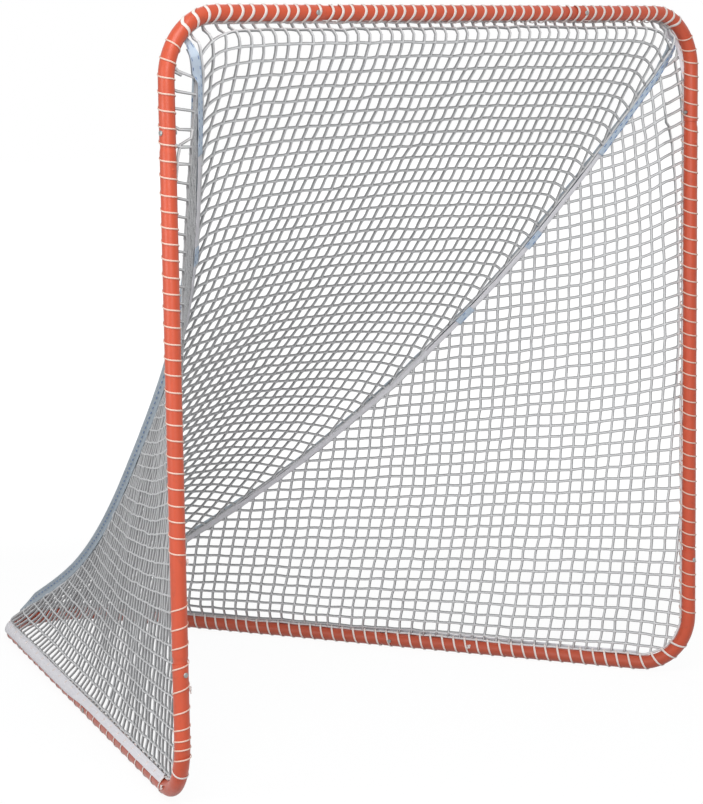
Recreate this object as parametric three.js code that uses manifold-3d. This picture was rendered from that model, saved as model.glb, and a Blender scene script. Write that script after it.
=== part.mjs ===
// A laced field goal for lacrosse: a bolted, knock-down frame of round steel tube with a knotless net.
// Millimetres, +Z up. The mouth faces -Y, the two ground rails run back to a rounded bend at +Y.
import * as THREE from 'three';
import { mergeVertices } from 'three/addons/utils/BufferGeometryUtils.js';
import Module from 'manifold-3d';

const wasm = await Module();
wasm.setup();

// Driving dimensions of the frame
const mouth_width = 1829;        // between the post centre lines, 6 ft
const mouth_height = 1829;       // from a rail centre line up to the top bar centre line, 6 ft
const meeting_depth = 2171;      // from the mouth to where the two rail centre lines would cross
const tube_diameter = 38.1;      // 1.5 in tube, across its flats
const tube_wall = 1.5;
const top_bend_radius = 150;     // centre line radius of the two top corners
const bottom_bend_radius = 150;  // centre line radius of the two bottom elbows
const rear_bend_radius = 200;    // centre line radius of the bend behind the net

// Where one tube ends and the next one begins, measured along the centre lines
const corner_reach = 470;        // top corner, from the post line in along the top bar
const corner_drop = 293;         // top corner, from the top bar line down the post
const elbow_rise = 336;          // bottom elbow, from the rail line up the post
const elbow_run = 940;           // bottom elbow, from the post line back along the rail
const rear_leg = 190;            // rear bend, straight leg in front of the curve

// Swaged tube joints and their fasteners
const spigot_length = 80;        // reduced end that slides into the next tube
const shoulder_length = 14;      // taper from the full tube down to the spigot
const neck_length = 6;           // reduced tube left in sight between socket and shoulder
const bar_neck_length = 50;      // the same on the top bar
const fit_gap = 0.3;             // clearance between pieces that touch
const bolt_inset = 25;           // from the end of the socket back to the bolt
const bolt_diameter = 6;
const head_diameter = 13;
const head_height = 2.8;
const nut_width = 10;            // across flats
const nut_height = 5;
const bolt_tail = 2;             // thread in sight past the nut

// Net, tapes and lacing
const bar_meshes = 9;            // net squares along the straight part of the top bar
const post_meshes = 9;           // net squares up the straight part of a post
const rail_meshes = 10;          // net squares along the straight part of a rail
const roof_meshes = 15;          // net squares down the roof, from the top bar to the rear bend
const strand_width = 5;
const strand_thickness = 4;
const seam_inset = 7;            // from the seam line to the middle of a panel's edge strand
const seam_gap = 1.8;            // between the strands and the seam tape over them
const seam_tape_width = 26;
const seam_tape_thickness = 2.4;
const seam_start_clearance = 15; // past the edge strand's reach, where the seam leaves a top corner
const seam_tip = 60;             // the side panel stops where it has narrowed to this height
const tape_end_inset = 30;       // from the end of the seam line to the end of its tape
const hem_tape_thickness = 1.2;
const roof_crown = 45;           // how far the roof stands out between its seams
const lace_diameter = 3;
const lace_tail = 24;            // straight end of a lace past its last turn
const lace_bolt_gap = 4;         // between a lace and a bolt's head or nut that it goes by
const lower_turns = 2;           // left post, turns below the bare stretch
const bare_meshes = 1;           // left post, meshes left bare between its two laces

// Shares of the half width, of the meeting depth and of the mouth height, read off the seam line
const seam_x_shares = [0.881, 0.616, 0.394, 0.192];
const seam_y_shares = [0.0129, 0.1764, 0.4012, 0.6292];
const seam_z_shares = [0.914, 0.612, 0.349, 0.152];
const seam_start_turn = 50;      // degrees round the top corner, from the post side
const seam_end_turn = 27;        // degrees round the rear bend, from its middle
const snap_share = 0.3;          // net corners this near an edge, in meshes, are drawn onto it
const hem_start_turn = 10;       // degrees round the rail, from its top to its outside
const hem_end_turn = 60;

// Facets
const tube_sides = 16;
const bend_steps = 6;            // in a quarter turn
const bolt_sides = 8;
const lace_steps = 8;
const lace_sides = 5;
const seam_steps = 30;
const hem_steps = 3;

// Places derived from the driving dimensions
const half_width = mouth_width / 2;
const flat_to_corner = 1 / Math.cos(Math.PI / tube_sides);
const tube_radius = tube_diameter / 2;
const tube_corner_radius = tube_radius * flat_to_corner;
const lace_radius = lace_diameter / 2;
const lace_chord = Math.cos(Math.PI / lace_steps);
const lace_level = tube_corner_radius + lace_radius + fit_gap;
const lace_flat = lace_diameter / 10;
const widest_fastener = Math.max(head_diameter, nut_width / Math.cos(Math.PI / 6));
const bolt_reach = widest_fastener / 2 + lace_bolt_gap + lace_radius;
const rail_z = lace_level + lace_radius - lace_flat;
const top_z = rail_z + mouth_height;
const border_reach = tube_corner_radius + fit_gap + Math.hypot(strand_width, strand_thickness) / 2;
const bend_sag = 1 - Math.cos(Math.PI / 4 / bend_steps);
const half_angle = Math.atan2(half_width, meeting_depth);
const rear_tangent = rear_bend_radius / Math.tan(half_angle);
const rail_length = Math.hypot(half_width, meeting_depth);
const rail_straight = rail_length - rear_tangent;
const rear_centre_y = meeting_depth - rear_bend_radius / Math.sin(half_angle);

const vec = (x, y, z) => new THREE.Vector3(x, y, z);
const along = (from, direction, distance) => from.clone().addScaledVector(direction, distance);
const up = vec(0, 0, 1);
const back = vec(0, 1, 0);
const across = vec(1, 0, 0);

// The right side is +1, the left side is -1
const rail_direction = (side) => vec(-side * half_width, meeting_depth, 0).normalize();
const rail_inward = (side) => vec(-side * meeting_depth, -half_width, 0).normalize();
const post_foot = (side) => vec(side * half_width, 0, rail_z);
const post_top = (side) => vec(side * half_width, 0, top_z);
const rail_point = (side, distance) => along(post_foot(side), rail_direction(side), distance);
const halfway = (a, b) => a.clone().add(b).normalize();

const goal = new THREE.Group();
const orange = () => new THREE.MeshStandardMaterial({ color: 0xd4532f, roughness: 0.42, metalness: 0.1 });
const zinc = () => new THREE.MeshStandardMaterial({ color: 0xb9bcbd, roughness: 0.35, metalness: 0.9 });
const twine = () => new THREE.MeshStandardMaterial({ color: 0xe6e7e8, roughness: 0.85, metalness: 0 });
const webbing = () => new THREE.MeshStandardMaterial({ color: 0xdfe4e8, roughness: 0.8, metalness: 0 });

function place(name, geometry, material) {
  const mesh = new THREE.Mesh(geometry, material);
  mesh.name = name;
  goal.add(mesh);
  return mesh;
}

// Solids: a closed geometry as a body that can be cut, and back again
function toSolid(geometry) {
  const bare = geometry.clone();
  bare.deleteAttribute('normal');
  bare.deleteAttribute('uv');
  const merged = mergeVertices(bare, fit_gap / 1000);
  return new wasm.Manifold(new wasm.Mesh({
    numProp: 3,
    vertProperties: new Float32Array(merged.attributes.position.array),
    triVerts: new Uint32Array(merged.index.array),
  }));
}

function toGeometry(solid) {
  const mesh = solid.getMesh();
  const geometry = new THREE.BufferGeometry();
  geometry.setAttribute('position', new THREE.BufferAttribute(new Float32Array(mesh.vertProperties), 3));
  geometry.setIndex(new THREE.BufferAttribute(new Uint32Array(mesh.triVerts), 1));
  geometry.computeVertexNormals();
  return geometry;
}

function cut(geometry, tools) {
  return toGeometry(tools.reduce((body, tool) => body.subtract(toSolid(tool)), toSolid(geometry)));
}

// Frame that turns a lathe's +Y axis to a direction, keeping its flats facing a side direction
function turned(geometry, origin, axis, side) {
  const third = side.clone().cross(axis).normalize();
  const frame = new THREE.Matrix4().makeBasis(side, axis, third).setPosition(origin);
  return geometry.applyMatrix4(frame);
}

// Centre line of a bent tube: straight runs and round bends in one plane, with stations only where it turns
class BentLine extends THREE.Curve {
  constructor(corners, radius, plane) {
    super();
    this.plane = plane;
    this.stations = [corners[0].clone()];
    this.tangents = [corners[1].clone().sub(corners[0]).normalize()];
    for (let i = 1; i < corners.length - 1; i++) {
      this.addBend(corners[i - 1], corners[i], corners[i + 1], radius);
    }
    this.stations.push(corners.at(-1).clone());
    this.tangents.push(this.tangents.at(-1).clone());
  }

  addBend(before, corner, after, radius) {
    const arriving = corner.clone().sub(before).normalize();
    const leaving = after.clone().sub(corner).normalize();
    const turn = arriving.angleTo(leaving);
    const axis = arriving.clone().cross(leaving).normalize();
    const start = along(corner, arriving, -radius * Math.tan(turn / 2));
    const centre = along(start, axis.clone().cross(arriving), radius);
    const steps = Math.round(bend_steps * turn / (Math.PI / 2));
    for (let step = 0; step <= steps; step++) {
      const angle = turn * step / steps;
      this.stations.push(start.clone().sub(centre).applyAxisAngle(axis, angle).add(centre));
      this.tangents.push(arriving.clone().applyAxisAngle(axis, angle));
    }
  }

  get steps() {
    return this.stations.length - 1;
  }

  getPoint(t) {
    const place_on = t * this.steps;
    const index = Math.min(Math.floor(place_on), this.steps - 1);
    return this.stations[index].clone().lerp(this.stations[index + 1], place_on - index);
  }

  getPointAt(t) {
    return this.getPoint(t);
  }

  getSpacedPoints() {
    return this.stations;
  }

  computeFrenetFrames() {
    const binormals = this.tangents.map(() => this.plane.clone());
    const normals = this.tangents.map((tangent) => this.plane.clone().cross(tangent));
    return { tangents: this.tangents, normals, binormals };
  }
}

// Tube section with its flats facing the two axes
function flatSidedPath(path, apothem) {
  for (let i = 0; i < tube_sides; i++) {
    const angle = (i + 0.5) * 2 * Math.PI / tube_sides;
    const radius = apothem * flat_to_corner;
    const point = [radius * Math.cos(angle), radius * Math.sin(angle)];
    if (i) path.lineTo(...point);
    else path.moveTo(...point);
  }
  path.closePath();
  return path;
}

function bentTube(corners, radius, plane) {
  const section = flatSidedPath(new THREE.Shape(), tube_radius);
  section.holes.push(flatSidedPath(new THREE.Path(), tube_radius - tube_wall));
  const line = new BentLine(corners, radius, plane);
  return new THREE.ExtrudeGeometry(section, { steps: line.steps, extrudePath: line, curveSegments: 1 });
}

// Straight tube with both ends swaged down to slide into its neighbours
function swagedTube(length, neck) {
  const bore_radius = (tube_radius - tube_wall - fit_gap) / flat_to_corner;
  const spigot_radius = bore_radius * flat_to_corner;
  const body_start = spigot_length + neck + shoulder_length;
  const ends = [
    [spigot_radius, 0],
    [spigot_radius, spigot_length + neck],
    [tube_corner_radius, body_start],
  ];
  const outside = [...ends, ...ends.map(([r, y]) => [r, length - y]).reverse()];
  const inside = outside.map(([r, y]) => [r - tube_wall, y]).reverse();
  const profile = [...outside, ...inside, outside[0]].map(([r, y]) => new THREE.Vector2(r, y));
  return new THREE.LatheGeometry(profile, tube_sides, Math.PI / tube_sides);
}

// A joint has one bolt: origin on the centre line, axis towards its head
const bolt_hole = (joint) => {
  const drill = new THREE.CylinderGeometry(
    bolt_diameter / 2 + fit_gap, bolt_diameter / 2 + fit_gap, tube_diameter + head_diameter, bolt_sides);
  return turned(drill, joint.origin, joint.axis, joint.side);
};

function boltGeometry(joint) {
  const seat = tube_radius + fit_gap;
  const tail = -(seat + nut_height + bolt_tail);
  const shank = bolt_diameter / 2;
  const head = head_diameter / 2;
  const profile = [
    [0, tail], [shank, tail], [shank, seat], [head, seat], [head, seat + head_height / 4],
    [head * 0.7, seat + head_height * 0.8], [0, seat + head_height],
  ].map(([r, y]) => new THREE.Vector2(r, y));
  return turned(new THREE.LatheGeometry(profile, bolt_sides), joint.origin, joint.axis, joint.side);
}

function nutGeometry(joint) {
  const shape = new THREE.Shape();
  const corner = nut_width / 2 / Math.cos(Math.PI / 6);
  for (let i = 0; i < 6; i++) {
    const point = [corner * Math.cos(i * Math.PI / 3), corner * Math.sin(i * Math.PI / 3)];
    if (i) shape.lineTo(...point);
    else shape.moveTo(...point);
  }
  shape.closePath();
  const bore = new THREE.Path();
  bore.absarc(0, 0, (bolt_diameter / 2 + fit_gap) / Math.cos(Math.PI / bolt_sides), 0, 2 * Math.PI, true);
  shape.holes.push(bore);
  const nut = new THREE.ExtrudeGeometry(shape,
    { depth: nut_height, bevelEnabled: false, curveSegments: bolt_sides });
  nut.rotateX(Math.PI / 2);
  nut.translate(0, -(tube_radius + fit_gap), 0);
  return turned(nut, joint.origin, joint.axis, joint.side);
}

// Joints, each named for the place where its two tubes meet
const joints = [];
function addJoint(name, origin, axis, side) {
  const joint = { name, origin, axis, side };
  joints.push(joint);
  return joint;
}

function buildFrame() {
  const top_half = half_width - corner_reach;
  for (const [label, side] of [['left', -1], ['right', 1]]) {
    const outward = across.clone().multiplyScalar(side);
    const direction = rail_direction(side);
    const inward = rail_inward(side);
    const top_joint = addJoint(`top_bar_${label}`, vec(side * (top_half + bolt_inset), 0, top_z),
      back.clone().negate(), across);
    const upper_joint = addJoint(`post_top_${label}`, along(post_top(side), up, bolt_inset - corner_drop),
      outward, up);
    const lower_joint = addJoint(`post_foot_${label}`, along(post_foot(side), up, elbow_rise - bolt_inset),
      back.clone().negate(), up);
    const rail_joint = addJoint(`rail_front_${label}`, rail_point(side, elbow_run - bolt_inset),
      inward.clone().negate(), direction);
    const rear_start = rail_straight - rear_leg;
    const rear_joint = addJoint(`rail_rear_${label}`, rail_point(side, rear_start + bolt_inset),
      inward.clone().negate(), direction);

    const corner = bentTube([vec(side * top_half, 0, top_z), post_top(side),
      along(post_top(side), up, -corner_drop)], top_bend_radius, back);
    place(`top_corner_${label}`, cut(corner, [top_joint, upper_joint].map(bolt_hole)), orange());

    const elbow = bentTube([along(post_foot(side), up, elbow_rise), post_foot(side),
      rail_point(side, elbow_run)], bottom_bend_radius, inward);
    place(`bottom_elbow_${label}`, cut(elbow, [lower_joint, rail_joint].map(bolt_hole)), orange());

    const post_start = elbow_rise - spigot_length;
    const post_length = mouth_height - elbow_rise - corner_drop + 2 * spigot_length;
    const post = turned(swagedTube(post_length, neck_length), along(post_foot(side), up, post_start),
      up, across);
    place(`post_${label}`, cut(post, [upper_joint, lower_joint].map(bolt_hole)), orange());

    const rail_start = elbow_run - spigot_length;
    const straight_length = rear_start - elbow_run + 2 * spigot_length;
    const rail = turned(swagedTube(straight_length, neck_length), rail_point(side, rail_start),
      direction, inward);
    place(`ground_rail_${label}`, cut(rail, [rail_joint, rear_joint].map(bolt_hole)), orange());
  }
  const bar = turned(swagedTube(2 * (top_half + spigot_length), bar_neck_length),
    vec(-top_half - spigot_length, 0, top_z), across, up);
  const named = (name) => bolt_hole(joints.find((joint) => joint.name === name));
  place('top_bar', cut(bar, [named('top_bar_left'), named('top_bar_right')]), orange());

  const rear_start = rail_straight - rear_leg;
  const rear_meeting = vec(0, meeting_depth, rail_z);
  const rear = bentTube([rail_point(-1, rear_start), rear_meeting, rail_point(1, rear_start)],
    rear_bend_radius, up);
  place('rear_bend', cut(rear, [named('rail_rear_left'), named('rail_rear_right')]), orange());

  for (const joint of joints) {
    place(`bolt_${joint.name}`, boltGeometry(joint), zinc());
    place(`nut_${joint.name}`, nutGeometry(joint), zinc());
  }
}

// Soft parts: a body lofted through rings of points, with flat ends
function loft(rings) {
  const count = rings[0].length;
  const index = [];
  for (let ring = 0; ring < rings.length - 1; ring++) {
    for (let i = 0; i < count; i++) {
      const a = ring * count + i;
      const b = ring * count + (i + 1) % count;
      index.push(a, b, b + count, a, b + count, a + count);
    }
  }
  const last = (rings.length - 1) * count;
  for (let i = 1; i < count - 1; i++) {
    index.push(0, i + 1, i);
    index.push(last, last + i, last + i + 1);
  }
  return indexed(rings.flat(), index);
}

function indexed(points, index) {
  const geometry = new THREE.BufferGeometry().setFromPoints(points);
  geometry.setIndex(index);
  geometry.computeVertexNormals();
  return geometry;
}

// The seam between the roof and a side, from behind a top corner to the top of the rear bend
function seamCurve(side) {
  const start_turn = THREE.MathUtils.degToRad(seam_start_turn);
  const start_reach = (border_reach + seam_start_clearance) * Math.SQRT1_2;
  const start_radius = top_bend_radius * (1 - bend_sag) - start_reach;
  const start = vec(half_width - top_bend_radius + start_radius * Math.cos(start_turn), start_reach,
    top_z - top_bend_radius + start_radius * Math.sin(start_turn));
  const end_turn = THREE.MathUtils.degToRad(seam_end_turn);
  const end = vec(rear_bend_radius * Math.sin(end_turn),
    rear_centre_y + rear_bend_radius * Math.cos(end_turn), rail_z + border_reach + seam_inset);
  const middle = seam_x_shares.map((share, i) => vec(share * half_width, seam_y_shares[i] * meeting_depth,
    rail_z + seam_z_shares[i] * mouth_height));
  const points = [start, ...middle, end].map((point) => vec(side * point.x, point.y, point.z));
  return new THREE.CatmullRomCurve3(points, false, 'catmullrom', 0.5);
}

// Even stations along a seam, clear of both its ends
function seamShares(seam) {
  const margin = tape_end_inset / seam.getLength();
  return Array.from({ length: seam_steps + 1 },
    (_, i) => THREE.MathUtils.lerp(margin, 1 - margin, i / seam_steps));
}

// Share of a rising or falling measure between 0 and 1 where it reaches a value
function solve(measure, value) {
  const rising = measure(1) > measure(0);
  let low = 0;
  let high = 1;
  for (let i = 0; i < 40; i++) {
    const middle = (low + high) / 2;
    if ((measure(middle) < value) === rising) low = middle;
    else high = middle;
  }
  return (low + high) / 2;
}

// Place of a point beside a rail: how far along its centre line, how far in from it and how high over it
function railPlace(side, point) {
  const offset = point.clone().sub(post_foot(side));
  const distance = offset.dot(rail_direction(side));
  if (distance <= rail_straight) return vec(distance, offset.dot(rail_inward(side)), offset.z);
  const turn = Math.PI / 2 - half_angle - Math.atan2(side * point.x, point.y - rear_centre_y);
  const inward = rear_bend_radius - Math.hypot(point.x, point.y - rear_centre_y);
  return vec(rail_straight + turn * rear_bend_radius, inward, offset.z);
}

// The same place as a point of the goal
function besideRail(side, distance, inward, height) {
  if (distance <= rail_straight) {
    return along(rail_point(side, distance), rail_inward(side), inward).addScaledVector(up, height);
  }
  const turn = Math.PI / 2 - half_angle - (distance - rail_straight) / rear_bend_radius;
  const radius = rear_bend_radius - inward;
  return vec(side * radius * Math.sin(turn), rear_centre_y + radius * Math.cos(turn), rail_z + height);
}

// Side panel: its rows run straight from the post to the seam
function sidePanel(side) {
  const seam = seamCurve(side);
  const surface = (distance, height) => {
    const clamped = Math.min(Math.max(height, railPlace(side, seam.getPoint(1)).z), mouth_height);
    const share = solve((t) => seam.getPoint(t).z - rail_z, clamped);
    const edge = railPlace(side, seam.getPoint(share));
    const inward = edge.y * (distance - border_reach) / (edge.x - border_reach);
    const fade = Math.min(1, Math.max(0, (height - border_reach) / seam_inset));
    return besideRail(side, distance, inward * fade, height);
  };
  const inset = (t, distance) => {
    const here = railPlace(side, seam.getPointAt(t));
    const slope = railPlace(side, seam.getPointAt(Math.min(1, t + 1 / seam_steps)))
      .sub(railPlace(side, seam.getPointAt(Math.max(0, t - 1 / seam_steps))));
    const inside = new THREE.Vector2(slope.z, -slope.x).normalize();
    return new THREE.Vector2(here.x, here.z).addScaledVector(inside, distance);
  };
  const kept = seamShares(seam).map((t) => inset(t, seam_inset))
    .filter((point) => point.y > border_reach + seam_tip);
  const elbow = bottom_bend_radius;
  const diagonal = elbow - (elbow * (1 - bend_sag) - border_reach) * Math.SQRT1_2;
  const corners = [
    [kept.at(-1).x, border_reach], [elbow, border_reach], [diagonal, diagonal], [border_reach, elbow],
    [border_reach, mouth_height - top_bend_radius], [kept[0].x, kept[0].y],
  ].map(([x, y]) => new THREE.Vector2(x, y));
  const outline = [...kept, ...corners.slice(0, -1)];
  const corner_at = [0, kept.length - 1, ...corners.slice(0, -1).map((_, i) => kept.length + i)];
  const post_pitch = (mouth_height - top_bend_radius - elbow) / post_meshes;
  const rail_pitch = (rail_straight - elbow) / rail_meshes;
  const columns = Array.from({ length: rail_meshes + 2 }, (_, i) => elbow + i * rail_pitch);
  const rows = Array.from({ length: post_meshes + 1 }, (_, i) => elbow + i * post_pitch);
  return { outline, corner_at, columns, rows, surface, inset, hand: side, snap: snap_share * post_pitch };
}

// Roof panel: its columns run straight back, its rows from seam to seam
function roofPanel() {
  const seam = seamCurve(1);
  const length = seam.getLength();
  const bar_reach = border_reach * Math.SQRT1_2;
  const straight = half_width - top_bend_radius;
  const top_edge = (x) => {
    const past = Math.max(0, Math.abs(x) - straight);
    const radius = top_bend_radius * (1 - bend_sag) - bar_reach;
    return vec(x, bar_reach, top_z - bar_reach - radius + Math.sqrt(radius * radius - past * past));
  };
  const rear_edge = (x) =>
    vec(x, rear_centre_y + Math.sqrt(rear_bend_radius ** 2 - x * x), rail_z + border_reach);
  const surface = (x, distance) => {
    const t = Math.min(1, Math.max(0, distance / length));
    const edge = seam.getPointAt(t);
    const share = Math.min(1, Math.abs(x) / edge.x);
    const crown = roof_crown * Math.sin(Math.PI * t) * (1 - share * share);
    const point = vec(x, edge.y + crown, edge.z + crown);
    const top = top_edge(share * seam.getPoint(0).x).sub(seam.getPoint(0));
    const rear = rear_edge(share * seam.getPoint(1).x).sub(seam.getPoint(1));
    point.y += top.y * (1 - t) ** 3 + rear.y * t ** 9;
    point.z += top.z * (1 - t) ** 3 + rear.z * t ** 9;
    return point;
  };
  const inset = (t, distance) => {
    const tangent = seam.getTangentAt(t);
    const inside = new THREE.Vector2(-1, tangent.x).normalize();
    return new THREE.Vector2(seam.getPointAt(t).x, t * length).addScaledVector(inside, distance);
  };
  const edge = [0, ...seamShares(seam), 1].map((t) => inset(t, seam_inset));
  edge[0].y = 0;
  edge[edge.length - 1].y = length;
  const mirrored = edge.map((point) => new THREE.Vector2(-point.x, point.y)).reverse();
  const outline = [...edge, ...mirrored];
  const corner_at = [0, edge.length - 1, edge.length, outline.length - 1];
  const pitch = 2 * straight / bar_meshes;
  const columns = Array.from({ length: bar_meshes + 1 }, (_, i) => -straight + i * pitch);
  const rows = Array.from({ length: roof_meshes + 1 }, (_, i) => i * length / roof_meshes);
  return { outline, corner_at, columns, rows, surface, inset, hand: 1, snap: snap_share * pitch };
}

// Nearest point of a closed outline, with the distance to it (positive inside) and the place along it
function nearestOn(outline, point) {
  let best = { distance: Infinity };
  let inside = false;
  outline.forEach((a, i) => {
    const b = outline[(i + 1) % outline.length];
    const run = b.clone().sub(a);
    const share = THREE.MathUtils.clamp(point.clone().sub(a).dot(run) / run.lengthSq(), 0, 1);
    const foot = a.clone().addScaledVector(run, share);
    const distance = foot.distanceTo(point);
    if (distance < best.distance) best = { point: foot, distance, position: i + share };
    const crosses = (a.y > point.y) !== (b.y > point.y);
    if (crosses && point.x < a.x + (point.y - a.y) / (b.y - a.y) * (b.x - a.x)) inside = !inside;
  });
  best.distance *= inside ? 1 : -1;
  return best;
}

// Corners and strands of a square net cut to an outline
function netGraph({ outline, corner_at, columns, rows, snap }) {
  const nodes = [];
  const edges = new Map();
  const add = (at, position = null) => nodes.push({ at, position }) - 1;
  const join = (a, b) => {
    if (a !== b) edges.set(`${Math.min(a, b)} ${Math.max(a, b)}`, [a, b]);
  };
  const corners = corner_at.map((i) => add(outline[i].clone(), i));
  const onBorder = (hit, apart = snap / 2) => {
    const close = nodes.findIndex((node) => node.position !== null && node.at.distanceTo(hit.point) < apart);
    return close >= 0 ? close : add(hit.point, hit.position % outline.length);
  };
  const grid = columns.map((x) => rows.map((y) => {
    const at = new THREE.Vector2(x, y);
    const hit = nearestOn(outline, at);
    if (hit.distance > snap) return { inside: true, at, node: add(at) };
    if (hit.distance > -snap) return { inside: false, at, node: onBorder(hit) };
    return { inside: false, at, node: null };
  }));
  const crossing = (from, to) => {
    const share = solve((t) => -nearestOn(outline, from.at.clone().lerp(to, t)).distance, 0);
    const at = from.at.clone().lerp(to, share);
    const hit = nearestOn(outline, at);
    return onBorder(hit);
  };
  const link = (a, b) => {
    if (!a || !b) return;
    if (a.node !== null && b.node !== null) {
      if (a.inside || b.inside) join(a.node, b.node);
      else {
        const middle = nodes[a.node].at.clone().lerp(nodes[b.node].at, 0.5);
        if (nearestOn(outline, middle).distance > snap / 2) join(a.node, b.node);
      }
    } else if (a.inside) join(a.node, crossing(a, b.at));
    else if (b.inside) join(b.node, crossing(b, a.at));
  };
  grid.forEach((column, i) => column.forEach((cell, j) => {
    link(cell, column[j + 1]);
    link(cell, grid[i + 1]?.[j]);
  }));
  const first_past = (cell, direction) => {
    if (cell.inside) join(cell.node, crossing(cell, cell.at.clone().add(direction)));
  };
  const reach = outline.reduce((most, point) => Math.max(most, Math.abs(point.x), Math.abs(point.y)), 0);
  grid.forEach((column) => {
    first_past(column[0], new THREE.Vector2(0, -reach));
    first_past(column.at(-1), new THREE.Vector2(0, reach));
  });
  grid[0].forEach((cell) => first_past(cell, new THREE.Vector2(-reach, 0)));
  grid.at(-1).forEach((cell) => first_past(cell, new THREE.Vector2(reach, 0)));
  outline.forEach((point, i) => onBorder({ point, position: i }, 3 * strand_width));
  const border = nodes.map((node, i) => ({ i, position: node.position }))
    .filter((node) => node.position !== null)
    .sort((a, b) => a.position - b.position);
  border.forEach((node, i) => join(node.i, border[(i + 1) % border.length].i));
  return { nodes, edges: [...edges.values()] };
}

// The strands as one thickened body: a plate at each corner, a bar along each edge
function netGeometry(panel) {
  const { nodes, edges } = netGraph(panel);
  const step = strand_width;
  for (const node of nodes) {
    const { x, y } = node.at;
    node.point = panel.surface(x, y);
    const run = panel.surface(x + step, y).sub(panel.surface(x - step, y));
    const rise = panel.surface(x, y + step).sub(panel.surface(x, y - step));
    node.normal = run.clone().cross(rise).normalize().multiplyScalar(panel.hand);
    node.right = run.normalize();
    node.ahead = node.normal.clone().cross(node.right);
    node.links = [];
  }
  for (const [a, b] of edges) {
    nodes[a].links.push({ to: b });
    nodes[b].links.push({ to: a });
  }
  const points = [];
  for (const node of nodes) {
    for (const link of node.links) {
      const way = nodes[link.to].point.clone().sub(node.point);
      link.angle = Math.atan2(way.dot(node.ahead), way.dot(node.right));
    }
    node.links.sort((a, b) => a.angle - b.angle);
    node.first = points.length;
    node.links.forEach((link, k) => {
      const next = node.links[(k + 1) % node.links.length];
      const between = (next.angle - link.angle + 4 * Math.PI) % (2 * Math.PI);
      const middle = link.angle + between / 2;
      const reach = strand_width / 2 / Math.sin(between / 2);
      const corner = along(along(node.point, node.right, reach * Math.cos(middle)), node.ahead,
        reach * Math.sin(middle));
      points.push(along(corner, node.normal, strand_thickness / 2));
      points.push(along(corner, node.normal, -strand_thickness / 2));
    });
  }
  const index = [];
  const quad = (a, b, c, d) => index.push(a, b, c, a, c, d);
  for (const node of nodes) {
    for (let k = 1; k < node.links.length - 1; k++) {
      index.push(node.first, node.first + 2 * k, node.first + 2 * k + 2);
      index.push(node.first + 1, node.first + 2 * k + 3, node.first + 2 * k + 1);
    }
  }
  const corner = (node, to, left) => {
    const count = node.links.length;
    const k = node.links.findIndex((link) => link.to === to);
    return node.first + 2 * (left ? k : (k + count - 1) % count);
  };
  for (const [a, b] of edges) {
    const [left_a, right_a] = [corner(nodes[a], b, true), corner(nodes[a], b, false)];
    const [left_b, right_b] = [corner(nodes[b], a, true), corner(nodes[b], a, false)];
    quad(right_a, left_b, right_b, left_a);
    quad(right_a + 1, left_a + 1, right_b + 1, left_b + 1);
    quad(left_a, right_b, right_b + 1, left_a + 1);
    quad(left_b, right_a, right_a + 1, left_b + 1);
  }
  return indexed(points, index);
}

function buildNets() {
  place('roof_net', netGeometry(roofPanel()), twine());
  for (const [label, side] of [['left', -1], ['right', 1]]) {
    place(`side_net_${label}`, netGeometry(sidePanel(side)), twine());
  }
}

// Webbing folded over a seam, one wing on the roof and one on the side
function seamTape(side) {
  const seam = seamCurve(side);
  const roof = roofPanel();
  const panel = sidePanel(side);
  const wing = seam_tape_width / 2;
  const rings = seamShares(seam).map((t) => {
    const point = seam.getPointAt(t);
    const tangent = seam.getTangentAt(t);
    const towards = (inner) => {
      const way = inner.sub(point);
      return way.addScaledVector(tangent, -way.dot(tangent)).normalize();
    };
    const roof_place = roof.inset(t, wing);
    const side_place = panel.inset(t, wing);
    const roof_way = towards(roof.surface(side * roof_place.x, roof_place.y));
    const side_way = towards(panel.surface(side_place.x, side_place.y));
    const roof_out = tangent.clone().cross(roof_way).multiplyScalar(side);
    const side_out = side_way.clone().cross(tangent).multiplyScalar(side);
    const ridge = roof_out.clone().add(side_out).divideScalar(1 + roof_out.dot(side_out));
    const inner = strand_thickness / 2 + seam_gap;
    const outer = inner + seam_tape_thickness;
    const roof_wing = along(point, roof_way, wing);
    const side_wing = along(point, side_way, wing);
    const ring = [along(point, ridge, outer), along(roof_wing, roof_out, outer),
      along(roof_wing, roof_out, inner), along(point, ridge, inner), along(side_wing, side_out, inner),
      along(side_wing, side_out, outer)];
    return side > 0 ? [ring[0], ...ring.slice(1).reverse()] : ring;
  });
  return loft(rings);
}

// Webbing along a rail's upper outside, an arc band drawn from the rail's top towards its outside
function hemTape(side) {
  const turns = Array.from({ length: hem_steps + 1 }, (_, i) =>
    THREE.MathUtils.degToRad(THREE.MathUtils.lerp(hem_start_turn, hem_end_turn, i / hem_steps)));
  const spread = Math.cos((turns[1] - turns[0]) / 2);
  const inner = (tube_corner_radius + fit_gap) / spread;
  const at = (turn, radius) => new THREE.Vector2(-side * radius * Math.sin(turn), radius * Math.cos(turn));
  const outer_edge = turns.map((turn) => at(turn, inner + hem_tape_thickness));
  const inner_edge = turns.map((turn) => at(turn, inner)).reverse();
  const band = new THREE.Shape([...outer_edge, ...inner_edge]);
  const depth = rail_straight - bottom_bend_radius;
  const tape = new THREE.ExtrudeGeometry(band, { depth, bevelEnabled: false });
  const direction = rail_direction(side);
  const frame = new THREE.Matrix4().makeBasis(up.clone().cross(direction), up, direction)
    .setPosition(rail_point(side, bottom_bend_radius));
  return tape.applyMatrix4(frame);
}

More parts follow.
